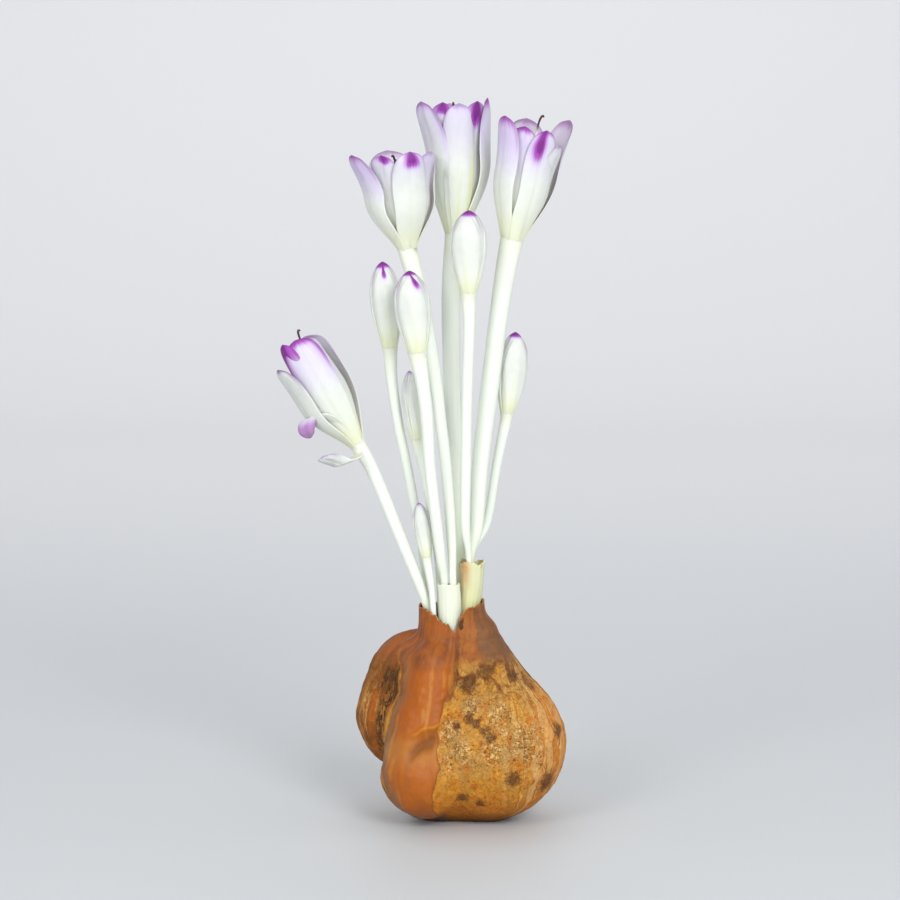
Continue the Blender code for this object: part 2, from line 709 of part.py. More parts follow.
def oval_tube(name, rows, inset, collection):
    """A closed oval column through rows of a point, a half width and a half depth, taken in by an inset."""
    bm = bmesh.new()
    bmesh.ops.create_uvsphere(bm, u_segments=SHEATH_SIDES, v_segments=len(rows) + 1, radius=1.0)
    for vert in bm.verts:
        ring = round((math.pi - math.acos(max(-1.0, min(1.0, vert.co.z)))) / math.pi * (len(rows) + 1))
        angle = math.atan2(vert.co.y, vert.co.x)
        pole = ring in (0, len(rows) + 1)
        x, y, z, half_width, half_depth = rows[max(0, min(len(rows) - 1, ring - 1))]
        across = 0.0 if pole else (half_width - inset) * math.cos(angle)
        deep = 0.0 if pole else (half_depth - inset) * math.sin(angle)
        vert.co = Vector((x + across, y + deep, z)) * MM
    mesh = bpy.data.meshes.new(name)
    bmesh.ops.recalc_face_normals(bm, faces=bm.faces)
    bm.to_mesh(mesh)
    bm.free()
    return link_mesh(name, mesh, collection)


def make_sheath(name, profile, cutters, material):
    """A thin open sleeve round some of the tubes."""
    rows = smooth_route([(*middle, wide, deep) for middle, wide, deep in profile], 2)
    sleeve = oval_tube(name + "_sleeve", rows, 0.0, bpy.data.collections["Colchicum"])
    longer = rows.copy()
    longer[0, 2] -= BORE_OVERRUN
    longer[-1, 2] += BORE_OVERRUN
    bore = oval_tube(name + "_bore", longer, SHEATH_WALL, cutters)
    bore.hide_render = True
    bore.display_type = "WIRE"
    cut = sleeve.modifiers.new("Bore", "BOOLEAN")
    cut.operation = "DIFFERENCE"
    cut.object = bore
    cut.solver = "MANIFOLD"
    bpy.context.view_layer.update()
    graph = bpy.context.evaluated_depsgraph_get()
    mesh = bpy.data.meshes.new_from_object(sleeve.evaluated_get(graph))
    bpy.data.objects.remove(sleeve, do_unlink=True)
    return finish(name, mesh, material)


def main():
    clear_scene()
    make_collection("Colchicum")
    cutters = make_collection("Cutters")
    tunic = make_material("Corm tunic", TUNIC_BROWN, 0.55)
    sheath = make_material("Sheath", SHEATH_WHITE, 0.45)
    tepal = make_material("Tepals and tubes", TEPAL_WHITE, 0.4)
    stamen = make_material("Stamens", STAMEN_YELLOW, 0.6)
    make_corm(tunic)
    for name, profile in SHEATHS.items():
        make_sheath(name, profile, cutters, sheath)
    for name, flower in OPEN_FLOWERS.items():
        make_open_flower(name, flower, tepal)
        make_stamens(name.replace("flower", "stamens"), flower, stamen)
    for name, bud in BUDS.items():
        make_bud(name, bud, tepal)


main()
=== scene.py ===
"""Colchicum with bulb: the looks of a brown-skinned corm that flowers dry on a pale table.

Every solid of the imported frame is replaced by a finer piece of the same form: the corm in its torn papery
tunic, two pale sheaths, four open flowers, six closed buds, and the stamens and styles inside the flowers.
Surfaces are grid primitives whose points are moved by formula, because no set of edit-mode tools gives a
petal its cupped blade. Lengths are millimetres in the tables and formulas, and the frame is the solids' own.
An azimuth runs from 0 at the photograph's right, by 90 at the back and 180 at its left, to 270 at the viewer.
"""

import math

import bpy
import numpy as np
from bpy.props import FloatProperty, FloatVectorProperty, IntProperty, PointerProperty
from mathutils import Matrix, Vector, noise


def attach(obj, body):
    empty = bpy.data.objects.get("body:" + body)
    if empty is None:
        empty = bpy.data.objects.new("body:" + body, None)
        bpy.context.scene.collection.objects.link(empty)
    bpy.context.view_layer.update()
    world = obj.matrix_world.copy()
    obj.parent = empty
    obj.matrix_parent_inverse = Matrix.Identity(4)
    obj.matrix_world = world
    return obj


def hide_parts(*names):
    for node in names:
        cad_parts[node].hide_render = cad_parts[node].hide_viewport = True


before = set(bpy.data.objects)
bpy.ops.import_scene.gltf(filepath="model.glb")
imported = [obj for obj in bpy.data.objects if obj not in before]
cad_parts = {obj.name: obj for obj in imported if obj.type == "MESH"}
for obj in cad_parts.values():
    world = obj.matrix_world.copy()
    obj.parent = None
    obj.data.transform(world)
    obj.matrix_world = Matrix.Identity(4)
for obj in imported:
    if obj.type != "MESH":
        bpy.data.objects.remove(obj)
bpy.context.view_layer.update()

bl_info = {
    "name": "Colchicum with bulb",
    "version": (1, 0, 0),
    "blender": (4, 5, 0),
    "location": "3D View > Sidebar > Colchicum",
    "description": "Models a colchicum corm with its flowers and buds",
    "category": "Object",
}

MM = 0.001
BODY = "root"


def rgb(red, green, blue):
    """A screen colour of 0 to 255 a channel as Blender's linear colour."""
    shares = (channel / 255 for channel in (red, green, blue))
    return tuple(share / 12.92 if share <= 0.04 else ((share + 0.055) / 1.055) ** 2.4 for share in shares)


# A tepal, where it says nothing else. Its form: how far it droops and leans to one side, how much its margins
# wave and its tip bends in and is blunt, how wide it curves across, and how far its foot wraps the throat.
FORM = dict(droop=0.0, lean=0.0, wave=0.3, hood=0.8, blunt=0.6, cup=1.6, wrap=1.25)
# Its colour: the tip's purple and where that starts, the faint wash below it, the purple margins, the green
# keel, seam and foot, and the dark rim. A patch of purple is a place across and along, its size both ways, and
# its strength.
COLOUR = dict(purple=0.5, start=0.9, wash=0.1, margin=0.1, keel=0.15, seam=0.0, foot=0.4, rim=0.6, patches=())


def tepal(azimuth, length, belly, tip, half_width, **look):
    """A tepal: its azimuth, share of the flower's length, how far out its belly and tip are, and its look."""
    place = dict(azimuth=azimuth, length=length, belly=belly, tip=tip, half_width=half_width)
    return {**FORM, **COLOUR, **place, **look}


# Flowers and buds. A station is a point on a tube's middle line, with the tube's radius there. "crown" is the
# middle of an open flower's mouth, and "style" is the azimuth of its tallest style and that one's share of the
# height. Tepals come in turn from the outer and the inner whorl. FOOT is where all tubes start, in the pit.
FOOT = 47.3
OPEN_FLOWERS = {
    "upper_left": {
        "stations": (
            (-1.6, -4.3, FOOT, 1.0), (-1.7, -4.4, 58.0, 1.0), (-2.2, -4.7, 74.5, 1.05),
            (-2.7, -3.0, 88.0, 1.5), (-4.2, -1.0, 107.6, 1.7), (-6.0, 0.2, 122.6, 1.8),
            (-7.8, 0.8, 136.7, 2.0), (-11.7, 1.6, 157.0, 2.4), (-15.8, 2.0, 173.0, 2.9),
        ),
        "crown": (-18.7, 1.0, 202.5),
        "style": (230, 0.95),
        "tepals": (
            tepal(210, 0.99, 10.8, 16.0, 6.6, cup=1.3, purple=0.25, wash=0.4),
            tepal(244, 0.98, 8.8, 12.2, 5.0, purple=0.3, wash=0.2, patches=((0.3, 0.96, 0.5, 0.04, 0.8),)),
            tepal(
                290, 1.0, 9.8, 12.2, 5.8, hood=1.4, purple=0.3, wash=0.15,
                patches=((0.1, 0.92, 0.5, 0.07, 1),),
            ),
            tepal(330, 0.98, 9.2, 12.6, 5.6, purple=0.15, wash=0.3, rim=0.4),
            tepal(24, 0.96, 10.0, 11.0, 5.8, purple=0.2),
            tepal(110, 0.98, 9.0, 11.0, 7.6, purple=0.4, rim=1.0),
        ),
    },
    "upper_middle": {
        "stations": (
            (-2.0, 5.0, FOOT, 1.3), (-2.0, 5.0, 58.0, 1.35), (-0.8, 5.8, 70.0, 1.6), (-0.2, 6.8, 79.1, 1.9),
            (-1.1, 9.2, 109.4, 2.3), (-2.4, 11.0, 130.6, 2.6), (-2.7, 13.2, 157.7, 2.9),
            (-1.5, 14.4, 176.5, 3.1),
        ),
        "crown": (-2.1, 15.0, 217.0),
        "style": (270, 0.98),
        "tepals": (
            tepal(217, 1.0, 7.8, 12.6, 6.2, cup=1.5, wrap=1.1, purple=0.3, wash=0.25, margin=0.3),
            tepal(
                250, 0.99, 7.0, 11.2, 5.6, hood=1.4, purple=0.4, wash=0.2,
                patches=((0, 0.96, 0.5, 0.04, 0.9),),
            ),
            tepal(279, 0.98, 8.0, 11.0, 5.6, cup=1.3, purple=0.2, wash=0.25, keel=0.3, seam=0.9),
            tepal(316, 0.99, 8.2, 11.4, 5.8, purple=0.4, start=0.88, patches=((-0.1, 0.92, 0.5, 0.1, 1.1),)),
            tepal(350, 1.01, 10.4, 11.0, 6.4, purple=0.5, wash=0.3, patches=((0.9, 0.5, 0.3, 0.12, 0.5),)),
            tepal(98, 0.98, 7.8, 10.0, 8.4, purple=0.4, rim=1.0),
        ),
    },
    "upper_right": {
        "stations": (
            (2.6, 0.3, FOOT, 1.25), (2.6, 0.3, 58.0, 1.25), (3.1, 0.3, 79.5, 1.25), (4.8, 1.0, 89.0, 2.1),
            (6.0, 2.0, 107.2, 2.5), (8.5, 3.2, 128.3, 2.75), (11.1, 4.2, 149.3, 2.8), (13.4, 4.8, 165.0, 3.1),
            (15.4, 5.0, 175.5, 3.5),
        ),
        "crown": (21.9, 3.5, 211.0),
        "style": (20, 1.05),
        "tepals": (
            tepal(214, 1.01, 8.6, 11.2, 6.2, cup=1.3, purple=0.3, wash=0.4),
            tepal(252, 0.96, 7.8, 9.6, 5.0, purple=0.5, start=0.92, wash=0.35, seam=0.8),
            tepal(
                296, 0.96, 8.6, 9.6, 5.2, purple=0.4, start=0.92, wash=0.25,
                patches=((-0.3, 0.88, 0.35, 0.12, 1),),
            ),
            tepal(334, 0.86, 8.8, 11.2, 5.4, cup=1.4, purple=0.2, wash=0.15),
            tepal(26, 1.05, 9.8, 12.4, 6.8, cup=1.5, purple=0.5, wash=0.3, rim=0.8),
            tepal(104, 1.0, 8.6, 9.0, 7.0, purple=0.6, rim=1.0),
        ),
    },
    "leaning": {
        "stations": (
            (-8.9, -1.0, FOOT, 1.45), (-9.0, -1.0, 57.0, 1.5), (-9.1, -1.0, 63.0, 1.5),
            (-10.6, -1.2, 68.2, 1.65), (-18.0, -2.4, 86.7, 1.85), (-25.7, -3.6, 106.0, 1.95),
            (-30.6, -4.6, 115.0, 2.4),
        ),
        "crown": (-48.4, -7.2, 146.2),
        "style": (10, 1.07),
        "tepals": (
            tepal(212, 0.90, 9.4, 10.6, 6.2, cup=1.4, purple=0.3, start=0.94, rim=1.0),
            tepal(
                228, 1.05, 7.2, 7.0, 4.6, cup=1.2, purple=0.4, start=0.8, wash=0.45,
                patches=((-0.3, 0.88, 0.5, 0.09, 0.7),),
            ),
            tepal(270, 1.03, 7.8, 4.8, 6.8, cup=1.2, hood=1.2, purple=0.6, start=0.92, margin=0.55, wash=0.3),
            tepal(340, 0.98, 6.8, 5.4, 5.8, cup=1.3, purple=0.1, wash=0.25, rim=0.5),
            tepal(70, 0.99, 7.8, 6.0, 8.0, cup=1.2, purple=0.4),
            tepal(236, 0.28, 9.6, 11.0, 4.0, droop=1.2, lean=-6.0, cup=3.0, purple=0.9, start=0.6),
            tepal(236, 0.10, 9.4, 12.0, 4.4, droop=-0.3, lean=-4.0, cup=2.0, purple=0.2),
        ),
    },
}

# A bud's tepals close over its tip. "girth" is its largest radius, and "turn" is the azimuth of one tepal.
BUDS = {
    "middle_high": {
        "stations": (
            (2.5, -2.2, FOOT, 0.85), (2.5, -2.2, 58.0, 0.85), (2.7, -2.2, 79.5, 0.85), (1.6, -3.8, 90.0, 1.4),
            (1.7, -4.6, 108.1, 1.6), (2.0, -5.8, 129.2, 1.65), (2.6, -6.8, 150.2, 1.75),
            (2.4, -7.0, 159.0, 2.2),
        ),
        "tip": (2.5, -8.0, 185.8),
        "girth": 5.3,
        "turn": 20,
        "look": dict(purple=1.3, start=0.91),
    },
    "left_high": {
        "stations": (
            (-8.6, 2.6, FOOT, 1.1), (-8.6, 2.6, 58.0, 1.15), (-9.4, 2.6, 68.5, 1.25),
            (-11.5, 2.3, 82.8, 1.35), (-14.2, 1.8, 98.2, 1.45), (-16.3, 1.4, 109.4, 1.5),
            (-18.4, 1.0, 119.5, 1.55), (-20.4, 0.6, 133.1, 1.7), (-20.9, 0.3, 142.1, 2.1),
        ),
        "tip": (-23.3, -0.5, 170.3),
        "girth": 4.4,
        "turn": 30,
        "look": dict(purple=1.4, start=0.91, patches=((0.1, 0.9, 0.3, 0.06, 1.2),)),
    },
    "centre": {
        "stations": (
            (-4.4, -4.3, FOOT, 1.0), (-4.4, -4.4, 58.0, 1.0), (-4.7, -5.0, 73.5, 1.05),
            (-5.6, -6.3, 80.0, 1.45), (-6.9, -8.2, 90.5, 1.7), (-9.0, -10.0, 108.8, 1.75),
            (-9.9, -11.2, 123.9, 1.9), (-11.3, -11.8, 135.2, 2.1), (-12.5, -12.0, 141.8, 2.6),
        ),
        "tip": (-15.1, -13.0, 168.3),
        "girth": 5.1,
        "turn": 30,
        "look": dict(purple=1.4, start=0.93, patches=((0.6, 0.9, 0.35, 0.08, 1.2),)),
    },
    "right": {
        "stations": (
            (2.9, 2.8, FOOT, 0.85), (2.9, 2.8, 58.0, 0.85), (3.5, 2.8, 79.5, 0.85), (8.2, 6.0, 90.0, 1.3),
            (11.0, 7.8, 106.5, 1.4), (14.0, 8.6, 121.5, 1.8),
        ),
        "tip": (16.8, 8.4, 148.5),
        "girth": 4.5,
        "turn": 45,
        "look": dict(purple=1.3, start=0.92),
    },
    "low": {
        "stations": (
            (-7.9, -4.6, FOOT, 0.8), (-7.9, -4.5, 58.0, 0.85), (-8.4, -4.4, 70.0, 1.0),
            (-9.9, -4.2, 79.9, 1.4),
        ),
        "tip": (-12.5, -4.2, 98.0),
        "girth": 2.4,
        "turn": 30,
        "look": dict(purple=0.5, start=0.92),
    },
    "hidden": {
        "stations": (
            (-5.6, 0.6, FOOT, 0.95), (-5.6, 0.6, 58.0, 1.0), (-6.4, 0.6, 77.1, 1.15), (-7.9, 0.0, 89.4, 1.3),
            (-10.5, -1.4, 104.8, 1.4), (-12.7, -2.4, 115.0, 1.7),
        ),
        "tip": (-15.2, -3.4, 137.8),
        "girth": 2.8,
        "turn": 60,
        "look": dict(purple=0.4, start=0.92),
    },
}

# The middle line of each sheath from the pit up, with its half width and half depth there.
SHEATHS = {
    "front": (
        (-3.0, -4.3, FOOT, 3.3, 2.6), (-3.0, -4.3, 56.0, 3.3, 2.6), (-3.0, -4.5, 63.0, 3.4, 2.7),
        (-3.1, -4.7, 68.0, 3.4, 2.7), (-3.5, -5.0, 73.0, 3.3, 2.6),
    ),
    "right": (
        (2.5, 0.3, FOOT, 3.1, 4.4), (2.5, 0.3, 57.0, 3.1, 4.4), (2.7, 0.3, 65.0, 3.3, 4.4),
        (3.2, 0.3, 71.0, 3.7, 4.5), (3.5, 0.3, 79.0, 3.9, 4.6),
    ),
}
# Each sheath's colour below and above, its stain, how ragged its rim is, and how strong its side's stain is.
SHEATH_LOOKS = {
    "front": (rgb(218, 224, 206), rgb(218, 223, 206), rgb(218, 223, 206), 0.15, 0.0),
    "right": (rgb(206, 207, 158), rgb(210, 213, 174), rgb(186, 136, 80), 0.45, 0.8),
}
SHEATH_WALL = 0.4

# The corm is a smooth union of its neck and its swellings. A swelling is a tapered capsule: end, radius, other
# end, radius. Between the two heights of AXIS_SHIFT, the corm's middle moves over from the origin to the neck.
CORM_LOBES = (
    ((10.0, -2.0, 22.5), 21.5, (9.5, -2.0, 24.5), 21.8),
    ((11.5, -2.0, 25.0), 19.5, (4.0, -1.0, 55.5), 8.0),
    ((-14.5, 6.0, 31.0), 17.0, (-12.0, 6.0, 40.5), 16.5),
    ((-10.5, -9.5, 16.5), 13.5, (-7.0, -6.5, 47.5), 8.0),
    ((0.0, 9.0, 16.5), 16.5, (-2.0, 5.0, 46.0), 10.0),
    ((-7.0, 0.0, 10.5), 11.5, (8.0, 0.0, 10.5), 11.5),
)
CORM_BLEND = 1.1
NECK_CENTRE = np.array((-2.6, 0.0))
NECK_HALF_WIDTH = 9.9
NECK_HALF_DEPTH = 8.9
NECK_START = 48.0
AXIS_SHIFT = (22.0, 52.0)
CORM_REACH = 60.0  # farther out than the skin is anywhere
HALVINGS = 26
COLLAR_START = 54.0
RIM_TOP = 66.2
RIM_WALL = 0.55
PIT_FLOOR = 47.0
# Where the rows of the corm's grid start its base, skin, collar, rim, pit wall and pit floor, and their end.
CORM_ROWS = (0.0, 0.05, 0.72, 0.86, 0.88, 0.96, 1.0)

# The smooth rust-coloured band of tunic in front, between two edges: height, then azimuth in degrees.
BAND_LEFT = (
    (0, -140), (6, -141), (16, -148), (24, -158), (34, -155), (41, -150), (48, -154), (54, -172), (62, -200),
)
BAND_RIGHT = (
    (0, -114), (6, -113), (15, -109), (20, -107), (29, -109), (34, -109), (39, -107), (44, -98), (62, -96),
)

# Spots on the skin, as x, y, z and size: where the worn lobe in front is dark, and where it is scaly.
DARK_SPOTS = (
    (2.7, -19.9, 34.9, 2.4), (5.0, -20.8, 33.6, 2.2), (-1.1, -19.3, 32.7, 1.7), (7.4, -22.2, 31.8, 2.4),
    (9.4, -23.3, 29.6, 2.2), (15.8, -10.3, 45.9, 2.6), (7.8, -12.2, 47.9, 3.6), (2.3, -13.1, 43.9, 3.4),
    (15.9, -21.8, 17.1, 3.4), (0.5, -17.6, 10.5, 2.4), (25.7, -14.4, 14.8, 4.4), (29.4, -11.0, 29.8, 3.4),
    (6.0, -18.5, 8.6, 2.2), (20.0, -8.0, 42.0, 2.6),
)
SCALY_SPOTS = (
    (15.9, -22.1, 29.6, 6.0), (20.4, -20.7, 27.3, 6.0), (-3.2, -19.0, 30.3, 4.6), (1.0, -19.6, 25.0, 5.0),
    (10.0, -22.6, 25.4, 4.4), (12.0, -21.0, 36.4, 4.4), (3.0, -18.4, 38.4, 3.4), (-4.0, -18.0, 22.0, 4.0),
)

# The dark gap in the left lobe, and the painted shade in the gap under the collar's torn rim beside its notch.
# Their spots are tall: heights are taken times these shares.
GAP_SQUEEZE = 0.6
NOTCH_SHADE_SQUEEZE = 0.5
TORN_GAP = (
    (-20.0, -8.0, 25.0, 6.0), (-17.0, -8.0, 29.4, 5.0), (-23.0, -9.0, 18.0, 4.4), (-24.0, -7.0, 13.0, 3.6),
)
COLLAR_NOTCH_SHADE = ((0.3, -9.0, 30.5, 0.9), (1.0, -9.0, 31.3, 0.9), (2.5, -8.8, 32.2, 1.0), (3.9, -8.5, 32.5, 0.9))

# How far parts of the skin stand out or lie deep.
BAND_LIFT = 0.40
CREASE_LIFT = 0.75
SCALE_LIFT = 0.25
STRIP_LIFT = 0.4
WRINKLE_LIFT = 0.55
HOLLOW_DEPTH = 1.3
GAP_DEPTH = 1.7

# Open flowers and buds. The shares are of a flower's length above its throat.
BOW_SHARE = 0.45  # how far up a flower keeps the direction of its tube
CONE_SHARE = 0.6  # how far up its tepals open as a cone
WIDEST_SHARE = 0.68  # where a tepal is widest
TIP_SHARE = 0.32  # and the rest of it
GIRTH_SHARE = 0.62  # where a bud has its girth
FOOT_SHARE = 0.06  # how far below the throat a tepal starts
BUD_SINK = 0.03  # and a closed bud
JOINT_SINK = 0.3  # how deep the foot of a tepal sinks in
TUBE_CLOSING = 0.9  # how far a tube's last ring is drawn in
KEEL_DEPTH = 0.22
WHORL_OFFSET = 0.45  # how far the outer whorl is out from the mean, and the inner one in

# Stamens and styles stand round a short column. A row of a filament or anther is a share of the stamen's
# length, how far it is out from the column, and its radius. A style's row is a share of its height, so many
# column radii out, how far beyond that, and its radius.
COLUMN_SHARE = 0.45  # of the throat's radius
COLUMN_FOOT = 0.45
COLUMN_HEIGHT = 2.0
STAMEN_LENGTHS = (0.55, 0.62)  # by turns, as shares of the flower's length, as SHORT_STYLE is
FILAMENT = ((0.6, 1.3, 0.26), (0.82, 2.3, 0.22))
ANTHER = ((0.77, 2.1, 0.25), (0.80, 2.3, 0.70), (0.88, 2.6, 0.78), (0.96, 2.9, 0.66), (1.0, 3.05, 0.2))
SHORT_STYLE = 0.9
STYLE = (
    (0.0, 0.25, 0.0, 0.3), (0.6, 0.9, 0.0, 0.28), (0.9, 1.0, 0.0, 0.28),
    (0.97, 1.0, 0.3, 0.34), (1.0, 1.0, 0.9, 0.34), (0.99, 1.0, 1.4, 0.2),
)

# The stage. A light has a place, a point that it is aimed at, and a size. They and the floor are in metres.
CAMERA_TARGET = (-3.05, 0.0, 112.8)
SENSOR_WIDTH = 36.0
SKY_COLOUR = (0.965, 0.975, 1.0)
LIGHTS = {
    "left": ((-0.70, -1.00, 0.72), (0.0, 0.0, 0.08), 0.6),
    "right": ((0.48, -1.12, 0.72), (0.0, 0.0, 0.08), 0.6),
    "front": ((0.0, -1.30, 0.16), (0.0, 0.0, 0.16), 0.5),
    "backdrop": ((0.0, 0.75, 1.5), (0.0, 1.7, 0.3), 0.9),
}
FLOOR_WIDTH = 5.0
FLOOR_FRONT = -1.4
FLAT_REACH = 2.4  # from front to back: the flat floor, then its bend, then the wall
BEND_REACH = 0.8
FLOOR_REACH = 3.6
BEND_RADIUS = 0.51
WALL_STRETCH = 3.0

SEAM_GAP = 1e-6  # in metres, within which the points of a seam are merged


# Numbers along surfaces.


def smooth(value, low, high):
    """0 below low, 1 above high, and a soft step between."""
    t = np.clip((value - low) / (high - low), 0.0, 1.0)
    return t * t * (3 - 2 * t)


def hump(value, middle, width):
    return np.exp(-(((value - middle) / width) ** 2))


def smooth_route(points, steps):
    """A Catmull-Rom curve through rows of numbers, with the given steps between each two."""
    rows = np.array(points, float)
    rows = np.vstack([2 * rows[0] - rows[1], rows, 2 * rows[-1] - rows[-2]])
    found = []
    for a, b, c, d in zip(rows, rows[1:], rows[2:], rows[3:]):
        square, cube = 2 * a - 5 * b + 4 * c - d, 3 * b - a - 3 * c + d
        found += [0.5 * (2 * b + (c - a) * t + square * t**2 + cube * t**3) for t in np.arange(steps) / steps]
    return np.array([*found, rows[-2]])


def noise_at(points, scale, seed=0.0):
    """Smooth noise of about -1 to 1 at each point, with features of the given size."""
    shift = Vector((seed, 2.3 * seed, -1.7 * seed))
    return np.array([noise.noise(Vector(point) / scale + shift) for point in points])


def unit(rows):
    return rows / np.linalg.norm(rows, axis=-1, keepdims=True)


class Axis:
    """The middle line of a flower above its throat: an arc that goes on from the tube and ends at the crown."""

    def __init__(self, stations, crown):
        self.start = np.array(stations[-1][:3])
        self.end = np.array(crown)
        self.length = np.linalg.norm(self.end - self.start)
        self.bend = self.start + unit(self.end - np.array(stations[-2][:3])) * self.length * BOW_SHARE

    def direction(self, share):
        t = np.clip(share, 0.0, 1.0)[..., None]
        return unit((1 - t) * (self.bend - self.start) + t * (self.end - self.bend))

    def point(self, share):
        t = np.clip(share, 0.0, 1.0)[..., None]
        on_arc = (1 - t) ** 2 * self.start + 2 * t * (1 - t) * self.bend + t**2 * self.end
        return on_arc + self.direction(share) * (np.asarray(share)[..., None] - t) * self.length

    def place(self, share, outwards, sideways, azimuth):
        """Points at height shares, so far out along an azimuth and so far to its side."""
        share = np.asarray(share, float)
        up = self.direction(share)
        right = unit(np.array((1.0, 0, 0)) - up * up[..., :1])
        back = np.cross(up, right)
        azimuth = np.broadcast_to(azimuth, share.shape)[..., None]
        out = right * np.cos(azimuth) + back * np.sin(azimuth)
        return (
            self.point(share)
            + out * np.broadcast_to(outwards, share.shape)[..., None]
            + np.cross(up, out) * np.broadcast_to(sideways, share.shape)[..., None]
        )


# Mesh pieces.


def pick(*objects):
    """Selects these objects and no others, and makes the first one active."""
    bpy.ops.object.select_all(action="DESELECT")
    for obj in objects:
        obj.select_set(True)
    bpy.context.view_layer.objects.active = objects[0]


def read_rows(data, key, width=3):
    """A value that all items of a mesh's data have, as one row of numbers for each."""
    flat = np.empty(len(data) * width)
    data.foreach_get(key, flat)
    return flat.reshape(-1, width)


def set_field(mesh, name, values):
    """Gives each point a number that a material reads by its name."""
    layer = mesh.attributes.get(name) or mesh.attributes.new(name, "FLOAT", "POINT")
    layer.data.foreach_set("value", np.broadcast_to(values, len(mesh.vertices)).astype(float))


def bent_grid(name, columns, rows, place):
    """A grid primitive bent to a surface. place takes u and v, from 0 to 1, and gives points and named fields."""
    bpy.ops.object.select_all(action="DESELECT")
    bpy.ops.mesh.primitive_grid_add(x_subdivisions=columns, y_subdivisions=rows, size=2.0)
    obj = bpy.context.object
    obj.name = obj.data.name = name
    mesh = obj.data
    shares = (read_rows(mesh.vertices, "co") + 1) / 2
    points, fields = place(shares[:, 0], shares[:, 1])
    mesh.vertices.foreach_set("co", (points * MM).ravel())
    for field, values in fields.items():
        set_field(mesh, field, values)
    mesh.update()
    return obj


def close_seams(obj):
    """Merges the points where a bent grid meets itself."""
    pick(obj)
    bpy.ops.object.mode_set(mode="EDIT")
    bpy.ops.mesh.select_all(action="SELECT")
    bpy.ops.mesh.remove_doubles(threshold=SEAM_GAP)
    bpy.ops.mesh.normals_make_consistent(inside=False)
    bpy.ops.object.mode_set(mode="OBJECT")


def apply_modifier(obj, name, kind, **settings):
    pick(obj)
    modifier = obj.modifiers.new(name, kind)
    for key, value in settings.items():
        setattr(modifier, key, value)
    bpy.ops.object.modifier_apply(modifier=modifier.name)


def make_wall(obj, thickness, inner=1.0):
    """Makes a sheet a thin closed wall with soft edges. Its inner side gets this number in the field inner."""
    outer_points = len(obj.data.vertices)
    apply_modifier(obj, "Wall", "SOLIDIFY", thickness=thickness * MM, offset=-1.0, use_even_offset=True)
    set_field(obj.data, "inner", inner * (np.arange(len(obj.data.vertices)) >= outer_points))
    apply_modifier(obj, "Smooth", "SUBSURF", levels=1, render_levels=1)


def join(name, objects):
    pick(*objects)
    bpy.ops.object.join()
    objects[0].name = objects[0].data.name = name
    return objects[0]


def set_in_frame(obj, node, material):
    """Puts a finished piece in place of its solid."""
    obj.data.materials.clear()
    obj.data.materials.append(material)
    pick(obj)
    bpy.ops.object.shade_smooth()
    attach(obj, BODY)
    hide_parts(node)


# Shader nodes.


class Number:
    """A number in a shader. Python's operators on it add Math nodes."""

    def __init__(self, shader, socket):
        self.shader = shader
        self.socket = socket

    def __add__(self, other):
        return self.shader.math("ADD", self, other)

    __radd__ = __add__

    def __sub__(self, other):
        return self.shader.math("SUBTRACT", self, other)

    def __rsub__(self, other):
        return self.shader.math("SUBTRACT", other, self)

    def __mul__(self, other):
        return self.shader.math("MULTIPLY", self, other)

    __rmul__ = __mul__

    def step(self, low, high):
        """0 below low, 1 above high, and a soft step between."""
        sockets = {"Value": self, "From Min": low, "From Max": high}
        node = self.shader.add("ShaderNodeMapRange", sockets, interpolation_type="SMOOTHSTEP")
        return Number(self.shader, node.outputs["Result"])


